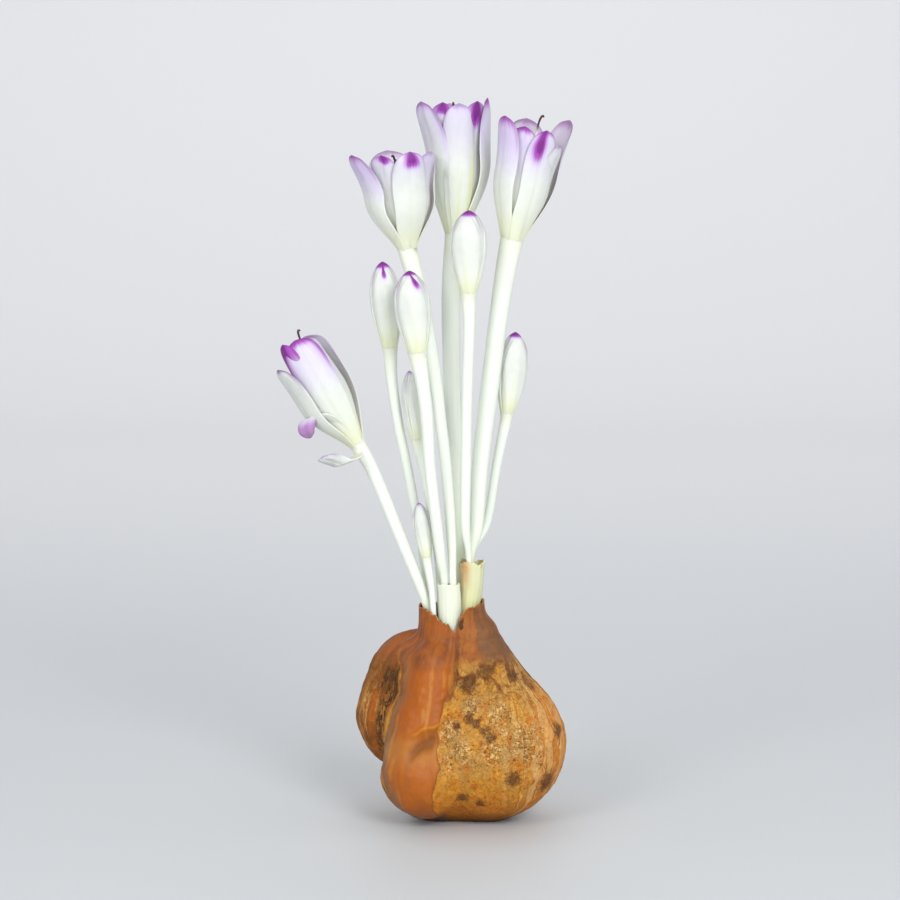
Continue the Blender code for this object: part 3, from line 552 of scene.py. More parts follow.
class Shader:
    """One material and the nodes that feed it."""

    def __init__(self, name, roughness=0.5, specular=0.5, subsurface=0.0, scatter=(1.0, 1.0, 1.0), reach=1.0):
        self.material = bpy.data.materials.new(name)
        self.material.use_nodes = True
        self.tree = self.material.node_tree
        self.surface = self.tree.nodes["Principled BSDF"]
        self.feed(self.surface, {"Roughness": roughness, "Specular IOR Level": specular})
        self.feed(self.surface, {"Subsurface Weight": subsurface, "Subsurface Radius": scatter})
        self.feed(self.surface, {"Subsurface Scale": reach * MM})

    def feed(self, node, sockets):
        """Links a node's sockets, given by name or number, to other sockets, or sets plain values on them."""
        for key, value in sockets.items():
            socket = node.inputs[key]
            if isinstance(value, Number):
                value = value.socket
            if isinstance(value, bpy.types.NodeSocket):
                self.tree.links.new(value, socket)
            elif socket.type == "RGBA":
                socket.default_value = (*value, 1.0)
            else:
                socket.default_value = value

    def add(self, kind, sockets=None, **settings):
        """Adds a node: its settings come first, then the values or links of its sockets."""
        node = self.tree.nodes.new(kind)
        for key, value in settings.items():
            setattr(node, key, value)
        self.feed(node, sockets or {})
        return node

    def math(self, operation, *values):
        node = self.add("ShaderNodeMath", dict(enumerate(values)), operation=operation)
        return Number(self, node.outputs[0])

    def vector(self, operation, *values):
        node = self.add("ShaderNodeVectorMath", dict(enumerate(values)), operation=operation)
        return node.outputs["Vector"]

    def scaled(self, vector, scale):
        return self.vector("MULTIPLY", vector, scale)

    def shifted(self, vector, shift):
        return self.vector("ADD", vector, shift)

    def axes(self, vector):
        """The x, y and z of a vector."""
        node = self.add("ShaderNodeSeparateXYZ", {0: vector})
        return [Number(self, socket) for socket in node.outputs]

    def field(self, name):
        node = self.add("ShaderNodeAttribute", attribute_type="GEOMETRY", attribute_name=name)
        return Number(self, node.outputs["Fac"])

    def place(self):
        """Points of the object in millimetres."""
        return self.scaled(self.add("ShaderNodeTexCoord").outputs["Object"], (1 / MM, 1 / MM, 1 / MM))

    def surface_map(self):
        return self.add("ShaderNodeTexCoord").outputs["UV"]

    def strands(self, middle, reach, climb, drift):
        """Places that run round an upright axis and change little with height: noise on them is fibrous."""
        away = self.scaled(self.vector("SUBTRACT", self.place(), middle), (1.0, 1.0, 0.0))
        around = self.scaled(self.vector("NORMALIZE", away), (reach, reach, 0.0))
        up = self.scaled(self.place(), (0.0, 0.0, climb))
        sway = self.add("ShaderNodeCombineXYZ", {"X": drift, "Y": drift}).outputs["Vector"]
        return self.shifted(self.shifted(around, up), sway)

    def noise(self, vector, size, detail=2.0, roughness=0.5, distortion=0.0):
        """Noise of about 0 to 1, whose features are of the given size."""
        sockets = {"Vector": vector, "Scale": 1 / size, "Detail": detail, "Roughness": roughness}
        node = self.add("ShaderNodeTexNoise", {**sockets, "Distortion": distortion})
        return Number(self, node.outputs["Fac"])

    def ridges(self, value, width):
        """1 along thin lines where a value passes its middle, one half."""
        return 1 - self.math("ABSOLUTE", value - 0.5).step(0.0, width)

    def mix(self, mask, first, second):
        """The first colour where the mask is 0 and the second where it is 1."""
        # A Mix node has sockets for each kind of data, and these numbers are those for colours.
        node = self.add("ShaderNodeMix", {0: mask, 6: first, 7: second}, data_type="RGBA", clamp_factor=True)
        return node.outputs[2]

    def coats(self, ground, *coats):
        """Lays colours over a ground in turn. Each is a mask and a colour."""
        for mask, colour in coats:
            ground = self.mix(mask, ground, colour)
        return ground

    def finish(self, colour, height=None, depth=0.1, roughness=None):
        """Feeds the surface: its colour, its relief with a depth in millimetres, and its roughness."""
        self.feed(self.surface, {"Base Color": colour})
        if roughness is not None:
            self.feed(self.surface, {"Roughness": roughness})
        if height is not None:
            bump = self.add("ShaderNodeBump", {"Height": height, "Distance": depth * MM, "Strength": 1.0})
            self.feed(self.surface, {"Normal": bump.outputs["Normal"]})
        return self.material


# The corm.


def corm_field(x, y, z):
    """Negative inside the corm: a smooth union of its lobes and its neck."""
    total = 0.0
    for (ax, ay, az), ra, (bx, by, bz), rb in CORM_LOBES:
        dx, dy, dz = bx - ax, by - ay, bz - az
        h = ((x - ax) * dx + (y - ay) * dy + (z - az) * dz) / (dx * dx + dy * dy + dz * dz)
        h = np.clip(h, 0.0, 1.0)
        gap = np.sqrt((x - ax - h * dx) ** 2 + (y - ay - h * dy) ** 2 + (z - az - h * dz) ** 2)
        total = total + np.exp(-(gap - (ra + h * (rb - ra))) / CORM_BLEND)
    squash = NECK_HALF_WIDTH / NECK_HALF_DEPTH
    column = np.hypot(x - NECK_CENTRE[0], (y - NECK_CENTRE[1]) * squash) - NECK_HALF_WIDTH
    total = total + np.exp(-(column + np.maximum(0.0, NECK_START - z)) / CORM_BLEND)
    return -CORM_BLEND * np.log(np.maximum(total, 1e-300))


def corm_axis(z):
    """The middle of each level of the corm: it moves from the origin to the neck on the way up."""
    return smooth(z, *AXIS_SHIFT)[..., None] * NECK_CENTRE


def corm_radius(angle, z):
    """How far the corm's skin is from its middle at a level, found by halving."""
    middle = corm_axis(z)
    near, far = np.zeros_like(angle), np.full_like(angle, CORM_REACH)
    for _ in range(HALVINGS):
        half = (near + far) / 2
        x, y = middle[..., 0] + half * np.cos(angle), middle[..., 1] + half * np.sin(angle)
        outside = corm_field(x, y, z) > 0
        far = np.where(outside, half, far)
        near = np.where(outside, near, half)
    return (near + far) / 2


def rim_height(angle):
    """Top of the torn collar: high at the back and sides, dipping in front to a notch, steeper on the right."""
    from_front = (angle + math.pi / 2 + math.pi) % (2 * math.pi) - math.pi
    dip = 4.6 * np.exp(-((from_front / np.radians(np.where(from_front > 0, 26, 43))) ** 2))
    notch = 3.0 * np.clip(1.4 - np.abs(from_front - math.radians(5)) / math.radians(8), 0.0, 1.0)
    teeth = 0.35 * (np.sin(5 * angle + 1.0) + 0.6 * np.sin(11 * angle))
    torn = 0.16 * np.sin(37 * angle + 2 * np.sin(7 * angle)) * (1 + np.sin(3 * angle + 2))
    torn = torn + 0.10 * np.sin(83 * angle)
    return RIM_TOP + 0.5 * np.cos(angle) - dip - notch + teeth + torn


def neck_radius(angle, inset):
    a, b = NECK_HALF_WIDTH - inset, NECK_HALF_DEPTH - inset
    return a * b / np.sqrt((b * np.cos(angle)) ** 2 + (a * np.sin(angle)) ** 2)


def corm_surface(u, v):
    """The corm's skin from the middle of its base up to the rim and down into the pit."""
    angle = math.pi / 2 + 2 * math.pi * u
    part = np.clip(np.searchsorted(CORM_ROWS, v, side="right") - 1, 0, 5)
    low, high = np.array(CORM_ROWS)[part], np.array(CORM_ROWS)[part + 1]
    t = np.clip((v - low) / (high - low), 0.0, 1.0)
    rim = rim_height(angle)
    skin = COLLAR_START * (1 - np.cos(math.pi / 2 * t)) ** 0.9
    collar = COLLAR_START + (rim - COLLAR_START) * t
    pit_wall = rim + (PIT_FLOOR - rim) * t
    z = np.choose(part, (0 * t, skin, collar, rim, pit_wall, 0 * t + PIT_FLOOR))
    outer = corm_radius(angle, z)
    inner = neck_radius(angle, RIM_WALL)
    radius = np.choose(part, (outer * t, outer, outer, outer + (inner - outer) * t, inner, inner * (1 - t)))
    middle = corm_axis(z)
    x = middle[:, 0] + radius * np.cos(angle)
    y = middle[:, 1] + radius * np.sin(angle)
    return np.stack([x, y, z], axis=1), {"inside": part >= 4, "rim": part == 3}


def spots(points, places, squeeze=1.0):
    """1 in the middle of each place and 0 away from it. Squeezed heights make the spots tall."""
    found = 0.0
    for x, y, z, size in places:
        away = (points * (1.0, 1.0, squeeze) - (x, y, z)) / size
        found = np.maximum(found, np.exp(-(away**2).sum(axis=1)))
    return found


def corm_fields(points, inside):
    """What covers each point of the skin: the fields that colour it, and how far it stands out."""
    x, y, z = points.T
    degrees = np.degrees(np.arctan2(y, x))
    degrees = np.where(degrees > 90, degrees - 360, degrees)
    from_left = degrees - np.interp(z, *zip(*BAND_LEFT))
    from_right = np.interp(z, *zip(*BAND_RIGHT)) - degrees
    share = np.minimum(from_left, from_right)
    ragged = 4.0 * noise_at(points, 5.0, 3.0) + 1.6 * noise_at(points, 1.6, 5.0)
    soft_above = smooth(z, 34.0, 42.0)
    band = smooth(share + ragged * 0.5, -1.0 - 6.0 * soft_above, 1.0 + 6.0 * soft_above)
    # Near the band's left edge: this carries the painted shade there.
    edge = band * (1 - smooth(from_left + 3.0 * noise_at(points, 5.0, 12.0), 2.0, 13.0))
    neck = smooth(z + 2.0 * noise_at(points, 6.0, 8.0), 47.0, 53.0)
    right_lobe = smooth(-from_right, 0.0, 4.0) * (1 - smooth(degrees, 40.0, 75.0))
    left_lobe = (1 - smooth(share + 40 * right_lobe, -8.0, 0.0)) * (1 - right_lobe)
    left_lobe = left_lobe * smooth(-degrees, 140.0, 150.0) * (1 - smooth(-degrees, 225.0, 262.0))

    # A crease crosses the band. It climbs to the right, and the skin is hollow under its left end. Its ridge
    # carries a painted highlight, and the hollow carries painted shade.
    along = smooth(degrees, -131.0, -122.0) * (1 - smooth(degrees, -104.0, -101.0))
    climb = np.clip((degrees + 125.0) / 21.0, 0.0, 1.0)
    crease = 29.6 + 5.0 * climb + 0.7 * np.sin(climb * 7.0)
    ridge = along * hump(z, crease, 0.8)
    hollow = along * hump(z, crease - 3.4 - 2.0 * (1 - climb), 2.4) * (1 - smooth(degrees, -114.0, -106.0))

    scaly = spots(points, SCALY_SPOTS)
    torn = left_lobe * spots(points, TORN_GAP, GAP_SQUEEZE)
    around_left_lobe = unit(np.stack([x + 13.0, y - 6.0], axis=1) + 1e-6)
    strips = noise_at(np.column_stack([17.0 * around_left_lobe, 0.12 * z]), 2.6, 6.0)
    wrinkles = noise_at(points * (1.0, 1.0, 0.3), 4.6, 7.0)
    lift = BAND_LIFT * band + CREASE_LIFT * ridge - HOLLOW_DEPTH * hollow
    lift = lift + SCALE_LIFT * scaly * (1 + 2 * noise_at(points, 1.2, 2.0))
    lift = lift - GAP_DEPTH * torn + STRIP_LIFT * left_lobe * strips + WRINKLE_LIFT * band * wrinkles
    lift = lift + 0.35 * noise_at(points, 6.0, 1.0) + 0.16 * noise_at(points, 1.8, 4.0)
    lift = lift * (1 - inside) * smooth(z, 0.2, 3.0) * (1 - smooth(z, 55.0, 62.0))
    fields = {
        "band": band * (1 - neck * 0.3),
        "right_lobe": right_lobe,
        "left_lobe": left_lobe,
        "neck": neck,
        "ridge": ridge,
        "hollow": hollow,
        "scaly": np.clip(scaly, 0.0, 1.0),
        "dark": spots(points, DARK_SPOTS),
        "torn": torn,
        "edge": edge,
        # Painted shade under the collar's notch.
        "tear": spots(points, COLLAR_NOTCH_SHADE, NOTCH_SHADE_SQUEEZE),
    }
    return fields, lift


def corm_material(settings):
    shader = Shader("Corm tunic", roughness=0.5, specular=0.2)
    place = shader.place()
    across, _, height = shader.axes(place)
    band, right, left, neck = map(shader.field, ("band", "right_lobe", "left_lobe", "neck"))
    ridge, hollow, scaly, dark, torn = map(shader.field, ("ridge", "hollow", "scaly", "dark", "torn"))
    broad = shader.noise(place, 6.5, 3.0, 0.5, 0.6)
    patchy = shader.noise(shader.shifted(place, (40.0, 0.0, 0.0)), 3.4, 4.0, 0.6, 0.8)
    middle = shader.noise(place, 1.9, 4.0, 0.62, 0.8)
    fine = shader.noise(place, 0.5, 4.0, 0.65)
    flakes = shader.noise(place, 2.1, 6.0, 0.7, 0.9)
    flecks = shader.noise(shader.shifted(place, (0.0, 20.0, 0.0)), 0.9, 3.0, 0.6, 1.0)
    drift = 3.6 * shader.noise(place, 5.5, 2.0)
    upright = shader.strands((0.0, 0.0, 0.0), 13.8, 0.06, drift * 0.5)
    on_right = shader.strands((10.5, -2.0, 0.0), 20.0, 0.06, drift)
    on_left = shader.strands((-13.0, 6.0, 0.0), 17.0, 0.06, drift)
    fibres = shader.noise(upright, 0.42, 3.0, 0.6, 0.3)
    folds = shader.noise(upright, 2.0, 3.0, 0.55, 0.4)
    strips = shader.noise(on_right, 2.2, 3.0, 0.55, 0.4)
    left_strips = shader.noise(on_left, 2.2, 3.0, 0.55, 0.4)
    lines = shader.ridges(shader.noise(on_right, 2.6, 1.5, 0.4), 0.018)
    left_lines = shader.ridges(shader.noise(on_left, 2.6, 1.5, 0.4), 0.018)
    cracks = shader.ridges(middle, 0.03)
    worms = shader.ridges(shader.noise(place, 1.4, 2.0, 0.5, 1.2), 0.05)

    # The worn right lobe: ochre, tan and amber ground, brown fibres, ragged pale scales with dark cracks, and
    # painted shade along the band's edge.
    golden = (1 - height.step(8.0, 22.0)) * (1 - across.step(14.0, 24.0))
    upper = height.step(34.0, 46.0) * patchy.step(0.4, 0.62)
    worn = (scaly + (patchy - 0.5) * 0.8).step(0.15, 0.8) * right
    sunny = across.step(19.0, 27.0) * height.step(9.0, 18.0) * right
    side = right * across.step(10.0, 18.0)
    spot = (dark + (middle - 0.5) * 1.1 + (fine - 0.5) * 0.9 + (flakes - 0.5) * 0.8).step(0.3, 0.95)
    flecked = flecks.step(0.58, 0.64) * (patchy + scaly * 0.3).step(0.42, 0.6) * right
    colour = shader.coats(
        settings.ochre,
        (broad.step(0.36, 0.6), settings.tan),
        (patchy.step(0.5, 0.62) * 0.8, settings.amber),
        (across.step(17.0, 30.0) * (0.35 + 0.5 * strips), settings.amber),
        (golden * 0.6 * broad.step(0.3, 0.6), settings.gold),
        (middle.step(0.52, 0.7) * 0.45, settings.brown),
        ((1 - height.step(3.0, 18.0)) * 0.7, settings.amber),
        (upper * 0.75, settings.umber),
        (worn * flakes.step(0.44, 0.54) * 0.75, settings.cream),
        (worms * (0.2 + worn) * right * fine.step(0.42, 0.6), settings.umber),
        (sunny * (0.35 + 0.6 * broad), settings.sun),
        (side * strips.step(0.52, 0.6) * 0.5, settings.cream),
        (side * shader.ridges(strips, 0.02) * 0.7, settings.brown),
        (lines * side * fine.step(0.3, 0.5) * 0.8, settings.cream),
        (spot * (0.6 + 0.5 * fine), settings.umber),
        (flecked * 0.75, settings.umber),
        # Painted shade: an umber line on the right lobe where the band's edge overhangs it.
        (band.step(0.02, 0.2) * right * 0.6, settings.umber),
    )

    # The left lobe's strips with the dark gap where they are torn.
    gap = (torn + (left_strips - 0.5) * 1.4 + (middle - 0.5) * 0.6).step(0.2, 0.6)
    striped = shader.coats(
        settings.rust,
        (left_strips.step(0.4, 0.62) * 0.7, settings.tan),
        (broad.step(0.45, 0.62) * 0.8, settings.brown),
        (shader.ridges(left_strips, 0.02) * 0.5, settings.umber),
        (left_lines * 0.35, settings.cream),
        (height.step(34.0, 48.0) * 0.6, settings.brown),
        (gap * (0.25 + 0.75 * fibres.step(0.42, 0.56)), settings.bark),
        (gap * fibres.step(0.58, 0.7) * 0.45, settings.tan),
    )

    # The smooth rust band: a painted highlight in orange across its middle, painted shade in grey along its left
    # edge, and dark at its foot.
    # Painted highlight: a broken zone across the middle of the band.
    painted_highlight = (height.step(20.0, 42.0) * (1 - height.step(46.0, 56.0)) + (broad - 0.5) * 1.4).step(0.2, 0.95)
    root_plate = (1 - height.step(1.0, 5.0)) + (patchy - 0.5) * 1.2
    rust = shader.coats(
        settings.rust,
        (painted_highlight, settings.orange),
        (folds.step(0.5, 0.66) * 0.55, settings.neck),
        ((1 - folds.step(0.36, 0.5)) * 0.4, settings.tan),
        (height.step(18.0, 24.0) * (1 - height.step(26.0, 30.0)) * 0.25, settings.tan),
        ((1 - height.step(1.0, 12.0)) * 0.4, settings.brown),
        # Painted shade in grey along the band's left edge.
        (shader.field("edge") * (0.45 + 0.8 * folds), settings.grey),
        ((1 - band.step(0.5, 1.0)) * 0.4, settings.umber),
        (worms * patchy.step(0.5, 0.7) * 0.2, settings.neck),
        (root_plate.step(0.4, 0.8) * 0.8, settings.umber),
    )

    # The red-brown neck, and then all of them in their places with what lies over them.
    throat = shader.coats(
        settings.neck,
        (folds.step(0.4, 0.62) * 0.7, settings.umber),
        (broad.step(0.45, 0.65) * 0.6, settings.rust),
        (across.step(1.0, 9.0) * (1 - height.step(54.0, 60.0)) * 0.5, settings.umber),
    )
    # The neck's right part in grey: partly its greyish skin, partly a painted sheen.
    grey_skin_and_sheen = neck * across.step(2.0, 7.0) * folds.step(0.4, 0.6)
    # Painted shade in the gap under the torn rim beside the collar's notch.
    notch_shade = (shader.field("tear") + (middle - 0.5) * 0.8).step(0.4, 0.6)
    colour = shader.coats(
        colour,
        (left.step(0.0, 0.5), striped),
        (band.step(0.2, 0.5), rust),
        # Painted highlight in gold along the crease's ridge, and painted shade in brown in the hollow under it.
        (ridge * 0.3, settings.gold),
        (hollow, settings.brown),
        (neck * 0.85, throat),
        (grey_skin_and_sheen * 0.5, settings.grey),
        (notch_shade * 0.9, settings.bark),
        # Darker at the base: partly the corm's dark root plate, partly painted shade where it curves under onto
        # the floor.
        ((1 - height.step(0.0, 6.0)) * 0.8, settings.bark),
        # Painted shade: the pit inside the neck darkened towards bark.
        (shader.field("inside") * 0.8, settings.bark),
        # The rim's pale edge in cream: partly the tunic's paler torn edge, partly a painted highlight.
        (shader.field("rim") * patchy.step(0.4, 0.6) * 0.5, settings.cream),
    )

    rough = (1 - band) * (1 - neck * 0.7)
    relief = fibres * 0.25 + rough * (fine * 0.5 - cracks * 0.3 - worms * 0.35 + lines * 0.4 + strips * 0.6)
    relief = relief + folds * (1 - rough) * 0.6
    relief = relief + worn * flakes.step(0.46, 0.53) * 0.8 + middle * 0.3 - spot * 0.4
    return shader.finish(colour, relief, settings.relief, 0.38 + rough * 0.32 + fine * 0.08)


# Flowers.


def tube_surface(rows):
    """A round tube through rows of x, y, z and radius, closed at its ends."""
    rows = np.vstack([rows[0] * (1, 1, 1, 0), rows, rows[-1] * (1, 1, 1, 0)])
    middles = np.vstack([rows[1:2], rows[1:-1], rows[-2:-1]])[:, :3]
    directions = unit(np.gradient(middles, axis=0) + (0, 0, 1e-9))

    def place(u, v):
        index = np.clip(np.round(v * (len(rows) - 1)).astype(int), 0, len(rows) - 1)
        up = directions[index]
        right = unit(np.array((1.0, 0, 0)) - up * up[:, :1])
        back = np.cross(up, right)
        angle = (math.pi / 2 + 2 * math.pi * u)[:, None]
        ring = right * np.cos(angle) + back * np.sin(angle)
        points = rows[index, :3] + ring * rows[index, 3:]
        low, high = rows[0, 2], rows[-1, 2]
        rise = (points[:, 2] - low) / (high - low)
        return points, {"rise": rise, "green": 0.25 * smooth(rise, 0.9, 1.0)}

    return place, len(rows) - 1


def make_tube(name, rows, sides, **fields):
    surface, count = tube_surface(np.array(rows))

    def place(u, v):
        points, found = surface(u, v)
        return points, {**found, **fields}

    obj = bent_grid(name, sides, count, place)
    close_seams(obj)
    return obj


def flower_tube(name, stations, axis, shares, radii, sides):
    """A flower's tube. It goes on past its throat into the feet of the tepals, with its last ring drawn in."""
    inside = np.column_stack([axis.point(shares), radii - (0.0, 0.0, 0.0, TUBE_CLOSING)])
    return make_tube(name + "_tube", np.vstack([smooth_route(stations, 6), inside]), sides, tube=1.0)


def funnel(low, middle, high, along):
    """How far out a tepal's middle line is: a cone that opens from the throat, then bends to the tip."""
    t = np.clip(along / CONE_SHARE, 0.0, 1.0)
    above = np.maximum(0.0, along - CONE_SHARE) / (1 - CONE_SHARE)
    return low + (middle - low) * np.sin(math.pi / 2 * t) ** 1.8 + (high - middle) * above**1.5


def tepal_outline(along, base_share, blunt):
    """Half width along a tepal as a share of its largest: a narrow claw, a broad blade and its tip."""
    below = np.minimum(along / WIDEST_SHARE, 1.0)
    rising = base_share + (1 - base_share) * np.sin(math.pi / 2 * below) ** 1.3
    over = np.maximum(0.0, (along - WIDEST_SHARE) / TIP_SHARE)
    closing = np.maximum(0.0, 1 - over ** (2.4 + 2.4 * blunt)) ** 0.55
    return np.where(along < WIDEST_SHARE, rising, closing)


def across_and_along(u, v):
    """Places on a blade: -1 to 1 from edge to edge, and 0 to 1 up it, in rows that are closer near its tip."""
    return 2 * u - 1, 0.6 * v + 0.4 * np.sin(math.pi / 2 * v)


def tepal_colours(spec, across, along):
    """Where a tepal is purple and where it is green."""
    purple = spec["purple"] * smooth(along, spec["start"], 1.0) + spec["wash"] * smooth(along, 0.35, 0.9)
    purple = purple + spec["margin"] * np.abs(across) ** 4 * smooth(along, 0.45, 0.9)
    for across_at, along_at, wide, long, strength in spec["patches"]:
        purple = purple + strength * hump(across, across_at, wide) * hump(along, along_at, long)
    green = spec["seam"] * hump(across, 0.8, 0.16) * hump(along, 0.42, 0.26)
    green = green + spec["foot"] * hump(along, 0.12, 0.15)
    green = green + spec["keel"] * hump(across, 0.0, 0.16) * (1 - smooth(along, 0.2, 0.8))
    sides = smooth(np.abs(across), 0.8, 0.98) * smooth(along, 0.7, 0.95)
    return {
        "purple": np.clip(purple, 0.0, 1.2),
        "green": np.clip(green, 0.0, 1.0),
        "rim": spec["rim"] * np.maximum(smooth(along, 0.955, 0.995), sides),
        "blade": smooth(along, 0.1, 0.7),
    }


def open_tepal(name, axis, throat, spec, offset, thickness):
    """One tepal of an open flower: a claw that wraps the throat, then a cupped, waved blade with a hooded tip."""
    seed = spec["azimuth"] * 0.37 + axis.end[0]
    half_width, droop = spec["half_width"], spec["droop"]
    claw_share = 1.25 * throat * math.pi / 6 / half_width

    def place(u, v):
        across, along = across_and_along(u, v)
        radius = funnel(throat - 0.2, spec["belly"], spec["tip"], along) + offset * smooth(along, 0.0, 0.4)
        radius = radius - JOINT_SINK * (1 - smooth(along, 0.0, 0.12))
        blade = half_width * tepal_outline(along, claw_share, spec["blunt"])
        closed = spec["wrap"] * math.pi / 6 * radius * (1 - smooth(along, 0.2, 0.75))
        width = (blade**6 + closed**6) ** (1 / 6)
        cup = radius + (half_width * spec["cup"] - radius) * np.minimum(1.0, along * 1.6)
        angle = width * across / cup
        sideways = cup * np.sin(angle) + spec["lean"] * smooth(along, 0.3, 1.0)
        waving = smooth(along, 0.35, 0.9) * (1 - smooth(along, 0.9, 1.0))
        out = radius - cup * (1 - np.cos(angle)) - spec["hood"] * smooth(along, 0.88, 1.0) ** 2
        out = out + spec["wave"] * np.sin(9 * along + 3 * across + seed) * np.abs(across) ** 2 * waving
        keel = KEEL_DEPTH * hump(across, 0.0, 0.10) * smooth(along, 0.1, 0.4) * (1 - smooth(along, 0.8, 1.0))
        height = along * (spec["length"] + FOOT_SHARE + droop) - droop * along * along - FOOT_SHARE
        uneven = 0.010 * np.sin(7 * across + seed) * smooth(along, 0.7, 0.9) * (1 - smooth(along, 0.93, 1.0))
        points = axis.place(height + uneven, out - keel, sideways, math.radians(spec["azimuth"]))
        return points, tepal_colours(spec, across, along)

    obj = bent_grid(name, 16, 30, place)
    make_wall(obj, thickness)
    return obj


def flower_material(settings):
    shader = Shader("Tepals and tubes", specular=0.2, subsurface=0.25, scatter=(1.0, 0.95, 0.95), reach=0.3)
    surface = shader.surface_map()
    place = shader.place()
    purple, green, rim = map(shader.field, ("purple", "green", "rim"))
    inner, tube, rise = map(shader.field, ("inner", "tube", "rise"))
    streaks = shader.noise(shader.scaled(surface, (22.0, 1.5, 0.0)), 1.0, 4.0, 0.6)
    veins = shader.noise(shader.scaled(surface, (60.0, 2.5, 0.0)), 1.0, 3.0, 0.5, 0.4)
    mottle = shader.noise(place, 2.4, 3.0)
    grain = shader.noise(place, 0.16, 2.0)
    strength = purple * (0.62 + 0.76 * streaks)
    white = shader.mix(mottle.step(0.3, 0.7) * 0.5, settings.white, settings.shade)
    stalk = shader.mix(rise.step(0.1, 0.5), settings.tube_foot, settings.tube)
    stalk = shader.mix(veins.step(0.5, 0.8) * 0.3, stalk, settings.green)
    # The tepals' foot is paler than the blade: partly its own pale base, partly painted light where the funnel
    # faces down.
    colour = shader.coats(
        settings.foot,
        (shader.field("blade"), white),
        (strength.step(0.02, 0.42) * 0.75, settings.lilac),
        (strength.step(0.28, 0.80), settings.purple),
        (strength.step(0.85, 1.05) * 0.7, settings.deep),
        (rim * (0.4 + 0.9 * streaks), settings.deep),
        # The tepals' inner side in a greyer lilac: partly its own tint, partly painted shade.
        (inner * (1 - tube) * 0.35, settings.inner),
        (green * (0.45 + 0.5 * streaks), settings.green),
        (tube * (1 - rise.step(0.8, 1.0)), stalk),
    )
    relief = veins * 0.6 + grain * 0.25 + streaks * 0.4
    return shader.finish(colour, relief, settings.relief, 0.36 + 0.14 * veins)


def make_flower(name, flower, settings, material):
    axis = Axis(flower["stations"], flower["crown"])
    throat = flower["stations"][-1][3]
    belly, tip = np.mean([(spec["belly"], spec["tip"]) for spec in flower["tepals"]], axis=0)
    shares = np.array((0.01, 0.03, 0.06, 0.10))
    parts = [flower_tube(name, flower["stations"], axis, shares, funnel(throat, belly, tip, shares), 24)]
    for number, spec in enumerate(flower["tepals"]):
        offset = WHORL_OFFSET if number % 2 == 0 else -WHORL_OFFSET
        label = f"{name}_tepal_{number}"
        parts.append(open_tepal(label, axis, throat, spec, offset, settings.thickness / MM))
    set_in_frame(join("bloom_" + name, parts), "flower_" + name, material)


def bud_radius(girth, throat, along):
    """How far out a bud's skin is: it swells from the throat, then closes over the tip."""
    rising = throat + (girth - throat) * smooth(along, -0.05, GIRTH_SHARE)
    over = np.maximum(0.0, along - GIRTH_SHARE) / (1 - GIRTH_SHARE)
    return np.where(along < GIRTH_SHARE, rising, girth * np.maximum(0.0, 1 - over**2.3) ** 0.66)


def make_bud(name, bud, settings, material):
    """A closed bud: its tube, a core that stands for the inner whorl, and the three outer tepals over it."""
    axis = Axis(bud["stations"], bud["tip"])
    throat = bud["stations"][-1][3]
    girth = bud["girth"]
    turn = math.radians(bud["turn"])
    spec = tepal(0, 1, 1, 1, 1, wash=0.05, keel=0.2, foot=0.5, **bud["look"])
    shares = np.array((0.02, 0.05, 0.08, 0.11))
    radii = bud_radius(girth, throat, shares + BUD_SINK)
    parts = [flower_tube(name, bud["stations"], axis, shares, radii, 20)]

    def core(u, v):
        along = 0.5 - 0.5 * np.cos(math.pi * v)
        radius = np.where((v <= 0) | (v >= 1), 0.0, np.maximum(0.1, bud_radius(girth, throat, along)))
        radius = radius * (0.75 + 0.25 * smooth(along, 0.05, 0.13))
        across = np.abs((3 * u + 0.5) % 1.0 * 2 - 1)
        points = axis.place(along - BUD_SINK, radius, 0.0, 2 * math.pi * u + turn)
        return points, tepal_colours({**spec, "patches": ()}, across, along)

    def outer(number):
        def place(u, v):
            across, along = across_and_along(u, v)
            closing = np.maximum(0.0, 2 * along - 1)
            spread = math.radians(56) * (1 - 0.42 * closing**2) * np.minimum(1.0, 0.9 + along)
            tip = np.maximum(0.0, 1 - smooth(along, 0.86, 1.0)) ** 0.5
            angle = spread * across * np.maximum(tip, 0.05)
            radius = np.maximum(0.15, bud_radius(girth, throat, along))
            radius = radius + 0.32 * np.minimum(1.0, along / 0.3) * (1 - 0.6 * smooth(along, 0.8, 1.0))
            radius = radius + 0.12 * np.sin(9 * across + 5 * along + girth) * hump(along, 0.45, 0.3)
            radius = radius - JOINT_SINK * (1 - smooth(along, 0.0, 0.16))
            points = axis.place(along - BUD_SINK, radius, 0.0, angle + turn + 2 * math.pi * number / 3)
            return points, tepal_colours(spec, across, along)

        return place

    inner = bent_grid(name + "_core", 48, 36, core)
    close_seams(inner)
    parts.append(inner)
    for number in range(3):
        blade = bent_grid(f"{name}_tepal_{number}", 14, 26, outer(number))
        make_wall(blade, settings.thickness / MM, inner=0.0)
        parts.append(blade)
    set_in_frame(join("closed_bud_" + name, parts), "bud_" + name, material)


